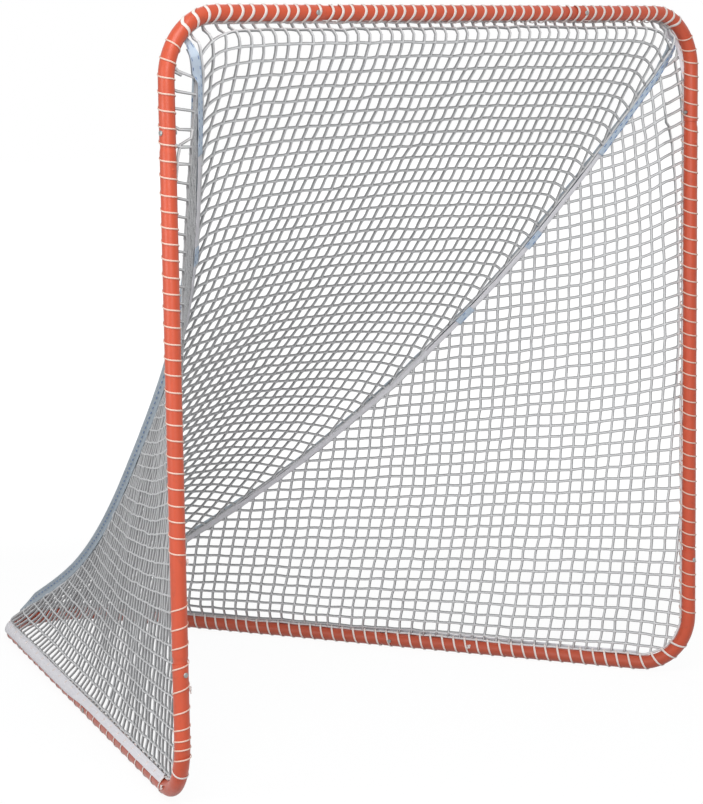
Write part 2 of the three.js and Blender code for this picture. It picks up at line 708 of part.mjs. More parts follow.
// Heads and nuts on a run's tube: how far along it and at what angle round it they are
function obstaclesOn({ origin, axis, net_way }, third) {
  const on_tube = joints.filter((joint) =>
    joint.origin.clone().sub(origin).cross(axis).length() < tube_radius);
  return on_tube.flatMap((joint) => {
    const distance = joint.origin.clone().sub(origin).dot(axis);
    const head = Math.atan2(joint.axis.dot(third), joint.axis.dot(net_way));
    return [head, head + Math.PI].map((angle) => ({ distance, angle }));
  });
}

// One cord wound round a tube and over the net's edge strand, which it passes midway between two strands.
// Where it would cross a head or a nut it goes by on the nearer side.
function lacePath(run, turns, pitch, cover) {
  const { origin, axis, net_way, hand, start } = run;
  const third = axis.clone().cross(net_way).multiplyScalar(hand);
  const obstacles = obstaclesOn(run, third);
  const pastBolts = (distance, angle) => obstacles.reduce((at, obstacle) => {
    const ahead = obstacle.angle - angle;
    const turn = Math.atan2(Math.sin(ahead), Math.cos(ahead)) / (2 * Math.PI);
    if (Math.abs(turn) > 1.5 / lace_steps) return at;
    const nearer = distance + turn * pitch < obstacle.distance ? -1 : 1;
    return nearer * (at - obstacle.distance) < bolt_reach ? obstacle.distance + nearer * bolt_reach : at;
  }, distance);
  const clear = (radius) => (radius + lace_radius + fit_gap) / lace_chord;
  const over_edge = clear(border_reach + Math.hypot(strand_width, strand_thickness) / 2);
  const points = [];
  for (let step = 0; step < turns * lace_steps; step++) {
    const turn = (step % lace_steps + 0.5) / lace_steps - 0.5;
    const angle = turn * 2 * Math.PI;
    const over_net = Math.abs(turn) < 1 / lace_steps;
    const covered = turn > 0 && turn < 0.25;
    const radius = over_net ? over_edge : clear(tube_corner_radius + (covered ? cover : 0));
    const centre = along(origin, axis, pastBolts(start + (step + 0.5) * pitch / lace_steps, angle));
    points.push(along(along(centre, net_way, radius * Math.cos(angle)), third, radius * Math.sin(angle)));
  }
  points.unshift(along(points[0], axis, -lace_tail));
  points.push(along(points.at(-1), axis, lace_tail));
  return points;
}

function cordGeometry(points, reference) {
  const tangents = points.map((_, i) => {
    const before = points[Math.max(i - 1, 0)];
    const after = points[Math.min(i + 1, points.length - 1)];
    return after.clone().sub(before).normalize();
  });
  let normal = reference;
  const rings = points.map((point, i) => {
    normal = along(normal, tangents[i], -normal.dot(tangents[i])).normalize();
    const other = tangents[i].clone().cross(normal);
    return Array.from({ length: lace_sides }, (_, k) => {
      const angle = 2 * Math.PI * k / lace_sides;
      const raised = along(point, normal, lace_radius * Math.cos(angle));
      return along(raised, other, lace_radius * Math.sin(angle));
    });
  });
  return loft(rings);
}

// Least distance between turns of a cord, less its diameter
function selfGap(points) {
  const samples = [];
  for (let i = 1; i < points.length; i++) {
    const parts = Math.ceil(points[i].distanceTo(points[i - 1]) / lace_diameter);
    for (let k = 0; k < parts; k++) samples.push(points[i - 1].clone().lerp(points[i], k / parts));
  }
  const apart = 4 * lace_steps;
  let least = Infinity;
  samples.forEach((a, i) => {
    samples.slice(i + apart).forEach((b) => { least = Math.min(least, a.distanceTo(b)); });
  });
  return least - lace_diameter;
}

function lace(name, run, turns, pitch, cover) {
  const path = lacePath(run, turns, pitch, cover);
  console.log(name, 'least gap to itself', selfGap(path).toFixed(1), 'mm');
  const ground = new THREE.BoxGeometry(2 * mouth_width, 2 * meeting_depth, mouth_height);
  ground.translate(0, meeting_depth / 2, -mouth_height / 2);
  place(name, cut(cordGeometry(path, run.net_way), [ground]), twine());
}

function postLacing(name, side, hand, first, turns) {
  const pitch = (mouth_height - top_bend_radius - bottom_bend_radius) / post_meshes;
  const run = { origin: post_foot(side), axis: up, net_way: rail_direction(side), hand,
    start: bottom_bend_radius + first * pitch };
  lace(name, run, turns, pitch, 0);
}

function buildTapesAndLacing() {
  const bar_end = half_width - top_bend_radius;
  const bar_run = { origin: vec(0, 0, top_z), axis: across, net_way: halfway(back, up.clone().negate()),
    hand: 1, start: -bar_end };
  const upper_first = lower_turns + bare_meshes;
  lace('top_lacing', bar_run, bar_meshes, 2 * bar_end / bar_meshes, 0);
  postLacing('post_lacing_left_lower', -1, 1, 0, lower_turns);
  postLacing('post_lacing_left_upper', -1, -1, upper_first, post_meshes - upper_first);
  postLacing('post_lacing_right', 1, -1, 0, post_meshes);
  const rail_pitch = (rail_straight - bottom_bend_radius) / rail_meshes;
  for (const [label, side] of [['left', -1], ['right', 1]]) {
    place(`seam_tape_${label}`, seamTape(side), webbing());
    place(`hem_tape_${label}`, hemTape(side), webbing());
    const run = { origin: post_foot(side), axis: rail_direction(side), net_way: up, hand: side,
      start: bottom_bend_radius };
    lace(`rail_lacing_${label}`, run, rail_meshes, rail_pitch, hem_tape_thickness + fit_gap);
  }
}

buildFrame();
buildNets();
buildTapesAndLacing();

// The origin is on the ground, under the middle of the whole goal
const footprint = new THREE.Box3().setFromObject(goal).getCenter(vec(0, 0, 0));
goal.position.y = -footprint.y;
console.log('mouth plane at y', (-footprint.y).toFixed(2), 'mm');

export default goal;
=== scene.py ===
"""A laced field goal for lacrosse: a painted tube frame, a knotted net, its tapes and its lacing."""

import math
import random

import bmesh
import bpy
import numpy as np
from bpy.props import FloatProperty, FloatVectorProperty, PointerProperty
from mathutils import Matrix, Vector, noise


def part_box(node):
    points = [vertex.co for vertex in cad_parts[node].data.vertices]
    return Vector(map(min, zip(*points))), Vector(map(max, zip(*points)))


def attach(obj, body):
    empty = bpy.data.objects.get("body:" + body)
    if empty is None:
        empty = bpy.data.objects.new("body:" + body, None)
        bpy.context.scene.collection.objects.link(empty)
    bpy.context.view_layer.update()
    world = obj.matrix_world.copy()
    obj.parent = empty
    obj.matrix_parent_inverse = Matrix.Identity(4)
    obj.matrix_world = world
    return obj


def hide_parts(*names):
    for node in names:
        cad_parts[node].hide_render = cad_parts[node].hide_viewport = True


bl_info = {
    "name": "Lacrosse goal",
    "version": (1, 0, 0),
    "blender": (4, 5, 0),
    "location": "3D View > Sidebar > Goal",
    "description": "Dresses the frame of a lacrosse goal with its tubes, net, tapes and lacing",
    "category": "Object",
}

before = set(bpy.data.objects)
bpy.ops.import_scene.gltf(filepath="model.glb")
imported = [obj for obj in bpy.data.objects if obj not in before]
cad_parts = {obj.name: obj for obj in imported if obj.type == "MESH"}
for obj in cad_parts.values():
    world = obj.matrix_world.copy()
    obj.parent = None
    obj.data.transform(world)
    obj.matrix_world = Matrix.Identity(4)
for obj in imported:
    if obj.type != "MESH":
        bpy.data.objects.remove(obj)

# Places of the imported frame, in metres: +Z up, the mouth faces -Y
MM = 0.001
MOUTH_WIDTH = 1829 * MM
MOUTH_HEIGHT = 1829 * MM
MEETING_DEPTH = 2171 * MM
TOP_BEND = 150 * MM
BOTTOM_BEND = 150 * MM
REAR_BEND = 200 * MM
CORNER_REACH = 470 * MM
CORNER_DROP = 293 * MM
ELBOW_RISE = 336 * MM
ELBOW_RUN = 940 * MM
REAR_LEG = 190 * MM
SPIGOT = 80 * MM
SHOULDER = 14 * MM
NECK = 6 * MM
BAR_NECK = 50 * MM
BOLT_INSET = 25 * MM
BORDER = 22.9 * MM          # from a tube's centre line to the middle of the net's edge strand
SEAM_INSET = 7 * MM
ROOF_CROWN = 45 * MM
TAPE_LIP = 10 * MM          # how far a seam's tape reaches in over each net
SEAM_LIFT = 3.8 * MM        # from a panel's middle out to the inside of the tape over its seam


def middle(node):
    low, high = (Vector(corner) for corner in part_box(node))
    return (low + high) / 2


HALF_WIDTH = MOUTH_WIDTH / 2
MOUTH_Y = middle("top_bar").y
TOP_Z = middle("top_bar").z
RAIL_Z = middle("rear_bend").z
HALF_ANGLE = math.atan2(HALF_WIDTH, MEETING_DEPTH)
RAIL_STRAIGHT = math.hypot(HALF_WIDTH, MEETING_DEPTH) - REAR_BEND / math.tan(HALF_ANGLE)
REAR_Y = MOUTH_Y + MEETING_DEPTH - REAR_BEND / math.sin(HALF_ANGLE)
POST_STRAIGHT = MOUTH_HEIGHT - TOP_BEND
TOP_ARC = TOP_BEND * math.pi / 2
BOTTOM_ARC = BOTTOM_BEND * math.pi / 2
UP = Vector((0, 0, 1))
BACK = Vector((0, 1, 0))
ACROSS = Vector((1, 0, 0))
BAR_NET_WAY = Vector((0, 0.5, -0.866))      # from the top bar's centre line to the edge of the roof net
SIDES = {"left": -1, "right": 1}
MERGE = 0.01 * MM           # points closer together than this are one point


def clamped(share):
    return min(1.0, max(0.0, share))


def eased(share):
    """A share from 0 to 1 that starts and ends gently."""
    return share * share * (3 - 2 * share)


def linear(code):
    """A colour's sRGB hex value as the linear red, green and blue that Blender works in."""
    parts = [int(code[i:i + 2], 16) / 255 for i in (1, 3, 5)]
    return [part / 12.92 if part <= 0.04045 else ((part + 0.055) / 1.055) ** 2.4 for part in parts]


def length_property(name, description, size):
    return FloatProperty(name=name, description=description, default=size * MM, min=0, unit="LENGTH",
                         subtype="DISTANCE")


def colour_property(name, description, code):
    return FloatVectorProperty(name=name, description=description, default=linear(code), min=0, max=1, size=3,
                               subtype="COLOR")


class GoalSizes(bpy.types.PropertyGroup):
    """Sizes of the parts that are tied, sewn or bolted to the frame."""

    tube: length_property("Tube", "Diameter of the frame's round steel tube", 38.1)
    wall: length_property("Tube wall", "Wall of the frame's tube", 1.5)
    twine: length_property("Net twine", "Diameter of the net's twine", 7.6)
    edge_twine: length_property("Edge twine", "Diameter of the cord round the edge of each net panel", 7.7)
    side_mesh: length_property("Side mesh", "Mesh of the side nets, from knot to knot", 38)
    roof_mesh: length_property("Roof mesh", "Mesh of the roof net across its width", 35)
    roof_rows: length_property("Roof rows", "Mesh of the roof net down its length", 41.3)
    lace_width: length_property("Lace width", "Width of the flat lace on the top bar", 8.4)
    rail_lace: length_property("Rail lace", "Width of the flat lace on the rails", 5.8)
    lace_thickness: length_property("Lace thickness", "Thickness of every lace", 2)
    post_lace: length_property("Post lace", "Width of the narrow lace on the posts", 3.8)
    lace_pitch: length_property("Lace pitch", "Distance between two turns of the post laces", 37.5)
    bar_pitch: length_property("Bar lace pitch", "Distance between two turns of the top bar's lace", 34.5)
    seam_fin: length_property("Seam fin", "How far the folded seam tape stands out past the net", 24)
    tape: length_property("Tape", "Thickness of the seam tapes, their linings and the hem webbing", 1.4)
    stitch: length_property("Stitch", "Length of one stitch of the seam tapes", 10)
    stitch_pitch: length_property("Stitch pitch", "Distance between two stitches of the seam tapes", 24)
    bolt_head: length_property("Bolt head", "Diameter of the bolts' round heads", 13)
    nut: length_property("Nut", "Nut across its flats", 10)


class GoalColours(bpy.types.PropertyGroup):
    """Colours of the goal's finishes."""

    paint: colour_property("Paint", "Powder coat of the tubes", "#C84F2E")
    twine: colour_property("Twine", "Braided twine of the net", "#F7F8FA")
    # The tape's grey is painted shade for the seam fins' shaded sides, laid into a cool white tape
    tape: colour_property("Tape", "Woven tape folded over the seams, greyed by the weather", "#BCC7D0")
    patch: colour_property("Patch", "Pale blue tape of the patches inside the seams", "#D3E3F4")
    hem: colour_property("Hem", "Woven webbing along the ground rails and inside the seams", "#F8F6FD")
    lace: colour_property("Lace", "Flat lace round the top bar and the rails", "#FAEDE8")
    post_lace: colour_property("Post lace", "Narrow lace round the posts, stained by the paint", "#F4D2C2")
    thread: colour_property("Thread", "Sewing thread of the seam tapes", "#7590BC")
    zinc: colour_property("Zinc", "Zinc plating of the bolts and nuts", "#9C9E9D")


def sizes():
    return bpy.context.scene.goal_sizes


def colours():
    return bpy.context.scene.goal_colours


# Materials

def set_inputs(tree, node, inputs):
    """Fills a node's inputs, each with a value or with a link from the output that is given for it."""
    for key, value in inputs.items():
        if isinstance(value, bpy.types.NodeSocket):
            tree.links.new(value, node.inputs[key])
        else:
            node.inputs[key].default_value = value


def add_node(tree, kind, inputs=None, **settings):
    """Adds one node with its settings and its inputs."""
    node = tree.nodes.new(kind)
    for key, value in settings.items():
        setattr(node, key, value)
    set_inputs(tree, node, inputs or {})
    return node


def new_material(name, **constants):
    """A material's node tree with its surface shader, whose constant inputs are set on the shader itself."""
    material = bpy.data.materials.new(name)
    material.use_nodes = True
    tree = material.node_tree
    shader = tree.nodes["Principled BSDF"]
    for key, value in constants.items():
        shader.inputs[key.replace("_", " ")].default_value = value
    return material, tree, shader


def per_metre(size_mm):
    """Scale of a noise whose features are this many millimetres across."""
    return 1 / (size_mm * MM)


def wave_scale(period_mm):
    """Scale of a wave texture whose bands repeat at this many millimetres."""
    return 2 * math.pi / (20 * period_mm * MM)


def rgba(colour, factor=1.0):
    return [min(1, part * factor) for part in colour] + [1]


def shades(factor, colour, low, high):
    """Inputs of a mix from a darker to a lighter shade of one colour."""
    return {"Factor": factor, "A": rgba(colour, low), "B": rgba(colour, high)}


def powder_coat():
    # Polyester powder coat sprayed and baked on steel tube: a soft satin with a fine orange peel,
    # rubbed duller and a little darker where balls, laces and hands have touched it; towards the ground it is
    # darker still, partly soiled and partly painted shade under the elbows and rails
    material, tree, shader = new_material("powder_coated_steel", IOR=1.5, Coat_Weight=0.15, Coat_Roughness=0.25)
    place = add_node(tree, "ShaderNodeTexCoord").outputs["Object"]
    clouds = add_node(tree, "ShaderNodeTexNoise", {"Vector": place, "Scale": per_metre(110), "Detail": 3})
    grime = add_node(tree, "ShaderNodeTexNoise", {"Vector": place, "Scale": per_metre(22), "Detail": 6,
                                                  "Roughness": 0.7}).outputs["Fac"]
    tint = add_node(tree, "ShaderNodeMix", shades(clouds.outputs["Fac"], colours().paint, 0.9, 1.1),
                    data_type="RGBA")
    rubbed = add_node(tree, "ShaderNodeMapRange", {"Value": grime, "From Min": 0.56, "From Max": 0.76,
                                                   "To Max": 0.45})
    height = add_node(tree, "ShaderNodeSeparateXYZ", {"Vector": place}).outputs["Z"]
    # Darker below 9 cm over the ground: soil from the ground and painted shade at the bottom of the elbows and
    # rails
    ground = add_node(tree, "ShaderNodeMapRange", {"Value": height, "From Min": 0.09, "From Max": 0.0,
                                                   "To Max": 0.5})
    wear_and_shade = add_node(tree, "ShaderNodeMath", {0: rubbed.outputs["Result"], 1: ground.outputs["Result"]},
                    operation="MAXIMUM")
    worn_and_shaded = add_node(tree, "ShaderNodeMix", {"Factor": wear_and_shade.outputs["Value"], "A": tint.outputs["Result"],
                                            "B": rgba(linear("#8A4634"))}, data_type="RGBA")
    gloss = add_node(tree, "ShaderNodeMapRange", {"Value": grime, "From Min": 0.3, "From Max": 0.8,
                                                  "To Min": 0.34, "To Max": 0.62})
    peel = add_node(tree, "ShaderNodeTexNoise", {"Vector": place, "Scale": per_metre(3), "Detail": 2})
    bump = add_node(tree, "ShaderNodeBump", {"Height": peel.outputs["Fac"], "Strength": 0.2,
                                             "Distance": 0.3 * MM})
    set_inputs(tree, shader, {"Base Color": worn_and_shaded.outputs[2], "Roughness": gloss.outputs["Result"],
                              "Normal": bump.outputs["Normal"]})
    return material


def zinc_plate():
    # Steel bolts and nuts, zinc plated in a barrel: a cool grey metal, slightly clouded
    material, tree, shader = new_material("zinc_plated_steel", Metallic=1.0)
    place = add_node(tree, "ShaderNodeTexCoord").outputs["Object"]
    clouds = add_node(tree, "ShaderNodeTexNoise", {"Vector": place, "Scale": per_metre(4),
                                                   "Detail": 4}).outputs["Fac"]
    tint = add_node(tree, "ShaderNodeMix", shades(clouds, colours().zinc, 0.75, 1.15), data_type="RGBA")
    gloss = add_node(tree, "ShaderNodeMapRange", {"Value": clouds, "To Min": 0.25, "To Max": 0.5})
    set_inputs(tree, shader, {"Base Color": tint.outputs[2], "Roughness": gloss.outputs["Result"]})
    return material


def braided_twine():
    # Braided polyester twine: its yarns cross the cord at a slant; the valleys between them and the cord's
    # flanks between the net's faces are darkened as painted shade, and patches of grey dust lie over it all
    material, tree, shader = new_material("braided_polyester_twine", Roughness=0.88, IOR=1.45,
                                          Specular_IOR_Level=0.25)
    twine = colours().twine
    place = add_node(tree, "ShaderNodeTexCoord").outputs["Object"]
    slant = add_node(tree, "ShaderNodeMapping", {"Vector": place, "Rotation": (0.62, 0.48, 0.79)})
    yarn = add_node(tree, "ShaderNodeTexWave", {"Vector": slant.outputs["Vector"], "Scale": wave_scale(2.6),
                                                "Distortion": 1.2, "Detail": 1}).outputs["Fac"]
    dust = add_node(tree, "ShaderNodeTexNoise", {"Vector": place, "Scale": per_metre(60), "Detail": 5})
    clean = add_node(tree, "ShaderNodeMix", shades(dust.outputs["Fac"], twine, 0.82, 1.12), data_type="RGBA")
    # Darker in the valleys between the yarns: painted shade
    tint = add_node(tree, "ShaderNodeMix", {"Factor": yarn, "A": rgba(twine, 0.76), "B": clean.outputs[2]},
                    data_type="RGBA")
    # Darker down the flanks of each strand, by its flank attribute: painted shade
    flank = add_node(tree, "ShaderNodeAttribute", attribute_name="flank")
    painted_flank_shade = add_node(tree, "ShaderNodeMapRange", {"Value": flank.outputs["Fac"], "From Min": 0.05,
                                                  "From Max": 0.48})
    tint = add_node(tree, "ShaderNodeMix", {"Factor": painted_flank_shade.outputs["Result"], "A": tint.outputs[2],
                                            "B": rgba(twine, 0.35)}, data_type="RGBA")
    bump = add_node(tree, "ShaderNodeBump", {"Height": yarn, "Strength": 0.6, "Distance": 0.5 * MM})
    set_inputs(tree, shader, {"Base Color": tint.outputs[2], "Normal": bump.outputs["Normal"]})
    return material


def woven(name, base, thread_mm, ribs_mm):
    """A plain weave on a piece's own UV map in metres: ribs along it, threads across it."""
    material, tree, shader = new_material(name, Roughness=0.82, IOR=1.45, Specular_IOR_Level=0.3)
    place = add_node(tree, "ShaderNodeTexCoord").outputs["UV"]
    across = add_node(tree, "ShaderNodeTexWave", {"Vector": place, "Scale": wave_scale(thread_mm)},
                      bands_direction="X")
    along = add_node(tree, "ShaderNodeTexWave", {"Vector": place, "Scale": wave_scale(ribs_mm)},
                     bands_direction="Y")
    cloth = add_node(tree, "ShaderNodeMix", {"Factor": 0.5, "A": across.outputs["Fac"],
                                             "B": along.outputs["Fac"]}).outputs["Result"]
    spots = add_node(tree, "ShaderNodeTexCoord").outputs["Object"]
    dust = add_node(tree, "ShaderNodeTexNoise", {"Vector": spots, "Scale": per_metre(45), "Detail": 5})
    clean = add_node(tree, "ShaderNodeMix", shades(dust.outputs["Fac"], base, 0.88, 1.1), data_type="RGBA")
    # Darker in the weave's valleys between the threads: painted shade
    tint = add_node(tree, "ShaderNodeMix", {"Factor": cloth, "A": rgba(base, 0.8), "B": clean.outputs[2]},
                    data_type="RGBA")
    bump = add_node(tree, "ShaderNodeBump", {"Height": cloth, "Strength": 0.5, "Distance": 0.4 * MM})
    set_inputs(tree, shader, {"Base Color": tint.outputs[2], "Normal": bump.outputs["Normal"]})
    return material


def seam_tape():
    # Woven polyester tape: fine ribs along it, a thread every 1.6 mm, a cool white darkened to grey as painted
    # shade for the seam fins' shaded sides
    return woven("woven_polyester_tape", colours().tape, 1.6, 2.2)


def patch_tape():
    # The same tape where it was sewn on later inside the seams, pale blue and less greyed
    return woven("pale_woven_tape", colours().patch, 1.6, 2.2)


def hem_webbing():
    # Heavier polyester webbing, ribbed 2.8 mm apart, kept whiter because it lies on top of the rail
    return woven("ribbed_polyester_webbing", colours().hem, 2.0, 2.8)


def lace_weave():
    # Flat braided polyester lace: coarser crossing yarns, a warm white
    return woven("flat_braided_lace", colours().lace, 2.4, 2.8)


def narrow_lace_weave():
    # The posts' narrower lace of the same braid, drawn tight, pinkish cream where it rubs on the paint
    return woven("narrow_braided_lace", colours().post_lace, 2.0, 2.2)


def thread():
    # Bonded nylon sewing thread: a smooth, slightly shiny filament, twisted
    material, tree, shader = new_material("bonded_nylon_thread", Roughness=0.55, IOR=1.53)
    place = add_node(tree, "ShaderNodeTexCoord").outputs["Object"]
    twist = add_node(tree, "ShaderNodeTexWave", {"Vector": place, "Scale": wave_scale(0.9)},
                     bands_direction="DIAGONAL")
    tint = add_node(tree, "ShaderNodeMix", shades(twist.outputs["Fac"], colours().thread, 0.7, 1.2),
                    data_type="RGBA")
    set_inputs(tree, shader, {"Base Color": tint.outputs[2]})
    return material


def finish(name, make):
    """The material of that name, made once."""
    return bpy.data.materials.get(name) or make()


# Pieces

def add_piece(name, data, material, nodes=()):
    """Makes an object at the origin of finished data, with its finish, and hides the imported nodes that it
    stands for.
    """
    piece = bpy.data.objects.new(name, data)
    bpy.context.scene.collection.objects.link(piece)
    data.materials.append(material)
    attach(piece, "root")
    if nodes:
        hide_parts(*nodes)
    return piece


def mesh_of(name, bm, smooth=True):
    mesh = bpy.data.meshes.new(name)
    bm.to_mesh(mesh)
    bm.free()
    mesh.polygons.foreach_set("use_smooth", [smooth] * len(mesh.polygons))
    return mesh


def ring_at(centre, axis, radius, across):
    """Matrix of a ring round an axis: its X points across, as near as the axis lets it."""
    axis = axis.normalized()
    third = axis.cross(across).normalized()
    turn = Matrix((third.cross(axis), third, axis)).transposed().to_4x4()
    return Matrix.Translation(centre) @ turn @ Matrix.Diagonal((radius, radius, radius, 1))


def turned_sweep(bm, places, sides):
    """Starts from a circle and extrudes it from place to place; both ends are closed."""
    ring = bmesh.ops.create_circle(bm, segments=sides, radius=1, matrix=places[0])["verts"]
    edges = [edge for edge in bm.edges if edge.verts[0] in ring and edge.verts[1] in ring]
    first = list(edges)
    for before, after in zip(places, places[1:]):
        grown = bmesh.ops.extrude_edge_only(bm, edges=edges)["geom"]
        ring = {item for item in grown if isinstance(item, bmesh.types.BMVert)}
        edges = [item for item in grown if isinstance(item, bmesh.types.BMEdge) and set(item.verts) <= ring]
        bmesh.ops.transform(bm, matrix=after @ before.inverted(), verts=list(ring))
    bmesh.ops.contextual_create(bm, geom=first)
    bmesh.ops.contextual_create(bm, geom=edges)
    bmesh.ops.recalc_face_normals(bm, faces=bm.faces)


def rail_direction(side):
    return Vector((-side * HALF_WIDTH, MEETING_DEPTH, 0)).normalized()


def rail_inward(side):
    return Vector((-side * MEETING_DEPTH, -HALF_WIDTH, 0)).normalized()


def post_foot(side):
    return Vector((side * HALF_WIDTH, MOUTH_Y, RAIL_Z))


def front_line(side, distance):
    """Point and direction of the mouth's centre line, from a post's foot up and in along the top bar."""
    if distance <= POST_STRAIGHT:
        return post_foot(side) + UP * distance, UP.copy()
    if distance <= POST_STRAIGHT + TOP_ARC:
        turn = (distance - POST_STRAIGHT) / TOP_BEND
        centre = post_foot(side) + UP * POST_STRAIGHT - ACROSS * side * TOP_BEND
        return (centre + TOP_BEND * Vector((side * math.cos(turn), 0, math.sin(turn))),
                Vector((-side * math.sin(turn), 0, math.cos(turn))))
    past = distance - POST_STRAIGHT - TOP_ARC
    return Vector((side * (HALF_WIDTH - TOP_BEND - past), MOUTH_Y, TOP_Z)), Vector((-side, 0, 0))


def front_distance(height):
    return height - RAIL_Z


TOP_MIDDLE = POST_STRAIGHT + TOP_ARC + HALF_WIDTH - TOP_BEND      # the bar's middle, along the front line


def ground_line(side, distance):
    """Point and direction of the ground centre line, from up a post down its elbow and back round the bend.

    Distance counts from where the post's and the rail's centre lines would cross; less is up the post."""
    foot = post_foot(side)
    direction = rail_direction(side)
    into = BOTTOM_BEND - BOTTOM_ARC
    if distance < into:
        return foot + UP * (BOTTOM_BEND + into - distance), -UP
    if distance < BOTTOM_BEND:
        turn = (distance - into) / BOTTOM_BEND
        centre = foot + (direction + UP) * BOTTOM_BEND
        return (centre - BOTTOM_BEND * (direction * math.cos(turn) + UP * math.sin(turn)),
                direction * math.sin(turn) - UP * math.cos(turn))
    if distance <= RAIL_STRAIGHT:
        return foot + direction * distance, direction
    turn = math.pi / 2 - HALF_ANGLE - (distance - RAIL_STRAIGHT) / REAR_BEND
    return (Vector((side * REAR_BEND * math.sin(turn), REAR_Y + REAR_BEND * math.cos(turn), RAIL_Z)),
            Vector((-side * math.cos(turn), math.sin(turn), 0)))


REAR_MIDDLE = RAIL_STRAIGHT + REAR_BEND * (math.pi / 2 - HALF_ANGLE)      # along the ground line
TUBE_SIDES = 40
BEND_STEP = 8 * MM
STRAIGHT_STEP = 6 * MM      # short enough to keep the start of each bend in its place
TUBE_LIP = 0.5 * MM         # rounding of a tube's cut end


def stations(line, start, end):
    """Distances along a line from start to end, in one step where it bends and another where it is straight."""
    distances = [start]
    while distances[-1] < end - 1e-6:
        here = distances[-1]
        ahead = here + BEND_STEP
        turning = ahead < end and line(ahead)[1].angle(line(here)[1]) > 1e-4
        distances.append(min(end, here + (BEND_STEP if turning else STRAIGHT_STEP)))
    return distances


def socket_places(line, start, end, across):
    """Rings of a bent tube whose two ends are open sockets with rounded lips."""
    radius = sizes().tube / 2
    bore = radius - sizes().wall
    lip = TUBE_LIP
    mouth = [(SPIGOT + 4 * MM, bore), (lip, bore), (0, bore + lip), (0, radius - lip), (lip, radius)]
    rings = [(start + inward, size) for inward, size in mouth]
    rings += [(distance, radius) for distance in stations(line, start + 2 * lip, end - 2 * lip)]
    rings += [(end - inward, size) for inward, size in reversed(mouth)]
    return [ring_at(*line(distance), size, across) for distance, size in rings]


def swaged_places(line, start, end, neck, across):
    """Rings of a straight tube whose two ends are drawn down to slide into its neighbours."""
    radius = sizes().tube / 2
    play, chamfer, steps = 0.3 * MM, 1 * MM, 6
    spigot = radius - sizes().wall - play
    ramp = [(0, spigot - chamfer), (chamfer, spigot), (SPIGOT + neck, spigot)]
    for share in (step / steps for step in range(1, steps + 1)):
        ramp.append((SPIGOT + neck + SHOULDER * share, spigot + (radius - spigot) * eased(share)))
    rings = [(start + inward, size) for inward, size in ramp]
    rings += [(end - inward, size) for inward, size in reversed(ramp)]
    return [ring_at(*line(distance), size, across) for distance, size in rings]


def tube_piece(name, node, places):
    bm = bmesh.new()
    turned_sweep(bm, places, TUBE_SIDES)
    paint = finish("powder_coated_steel", powder_coat)
    piece = add_piece(name, mesh_of(name, bm), paint, [node])
    edge_split = piece.modifiers.new("crisp lips", "EDGE_SPLIT")
    edge_split.split_angle = math.radians(50)
    return piece


class GOAL_OT_tubes(bpy.types.Operator):
    """Make the bent and swaged steel tubes of the frame"""

    bl_idname = "goal.tubes"
    bl_label = "Frame tubes"

    def execute(self, context):
        for label, side in SIDES.items():
            front = lambda distance, side=side: front_line(side, distance)
            ground = lambda distance, side=side: ground_line(side, distance)
            corner_start = MOUTH_HEIGHT - CORNER_DROP
            corner = socket_places(front, corner_start, TOP_MIDDLE - (HALF_WIDTH - CORNER_REACH), BACK)
            tube_piece(f"corner_tube_{label}", f"top_corner_{label}", corner)
            post = swaged_places(front, ELBOW_RISE - SPIGOT, corner_start + SPIGOT, NECK, BACK)
            tube_piece(f"post_tube_{label}", f"post_{label}", post)
            elbow_start = 2 * BOTTOM_BEND - BOTTOM_ARC - ELBOW_RISE
            elbow = socket_places(ground, elbow_start, ELBOW_RUN, rail_inward(side))
            tube_piece(f"elbow_tube_{label}", f"bottom_elbow_{label}", elbow)
            rail = swaged_places(ground, ELBOW_RUN - SPIGOT, RAIL_STRAIGHT - REAR_LEG + SPIGOT, NECK, UP)
            tube_piece(f"rail_tube_{label}", f"ground_rail_{label}", rail)
        bar = lambda distance: (Vector((distance, MOUTH_Y, TOP_Z)), ACROSS)
        bar_end = HALF_WIDTH - CORNER_REACH + SPIGOT
        tube_piece("bar_tube", "top_bar", swaged_places(bar, -bar_end, bar_end, BAR_NECK, UP))

        def round_back(distance):
            if distance <= REAR_MIDDLE:
                return ground_line(-1, distance)
            point, direction = ground_line(1, 2 * REAR_MIDDLE - distance)
            return point, -direction
        start = RAIL_STRAIGHT - REAR_LEG
        bend = socket_places(round_back, start, 2 * REAR_MIDDLE - start, UP)
        tube_piece("rear_bend_tube", "rear_bend", bend)
        return {"FINISHED"}


# Bolted joints

NUT_HEIGHT = 5 * MM
RIVET_DROP = 350 * MM       # from the top bar's centre line down to the rivet in a post


def bolt_seat():
    """From a tube's centre line to the underside of a bolt's head, or of its nut."""
    return sizes().tube / 2 + 0.1 * MM


def joints():
    """Each bolt's node name, centre on its tube, and direction towards its head."""
    found = []
    for label, side in SIDES.items():
        front = lambda distance: front_line(side, distance)[0]
        rail = lambda distance: ground_line(side, distance)[0]
        bar = Vector((side * (HALF_WIDTH - CORNER_REACH + BOLT_INSET), MOUTH_Y, TOP_Z))
        found.append((f"top_bar_{label}", bar, -BACK))
        found.append((f"post_top_{label}", front(MOUTH_HEIGHT - CORNER_DROP + BOLT_INSET), ACROSS * side))
        found.append((f"post_foot_{label}", front(ELBOW_RISE - BOLT_INSET), -BACK))
        found.append((f"rail_front_{label}", rail(ELBOW_RUN - BOLT_INSET), -rail_inward(side)))
        found.append((f"rail_rear_{label}", rail(RAIL_STRAIGHT - REAR_LEG + BOLT_INSET), -rail_inward(side)))
    return found


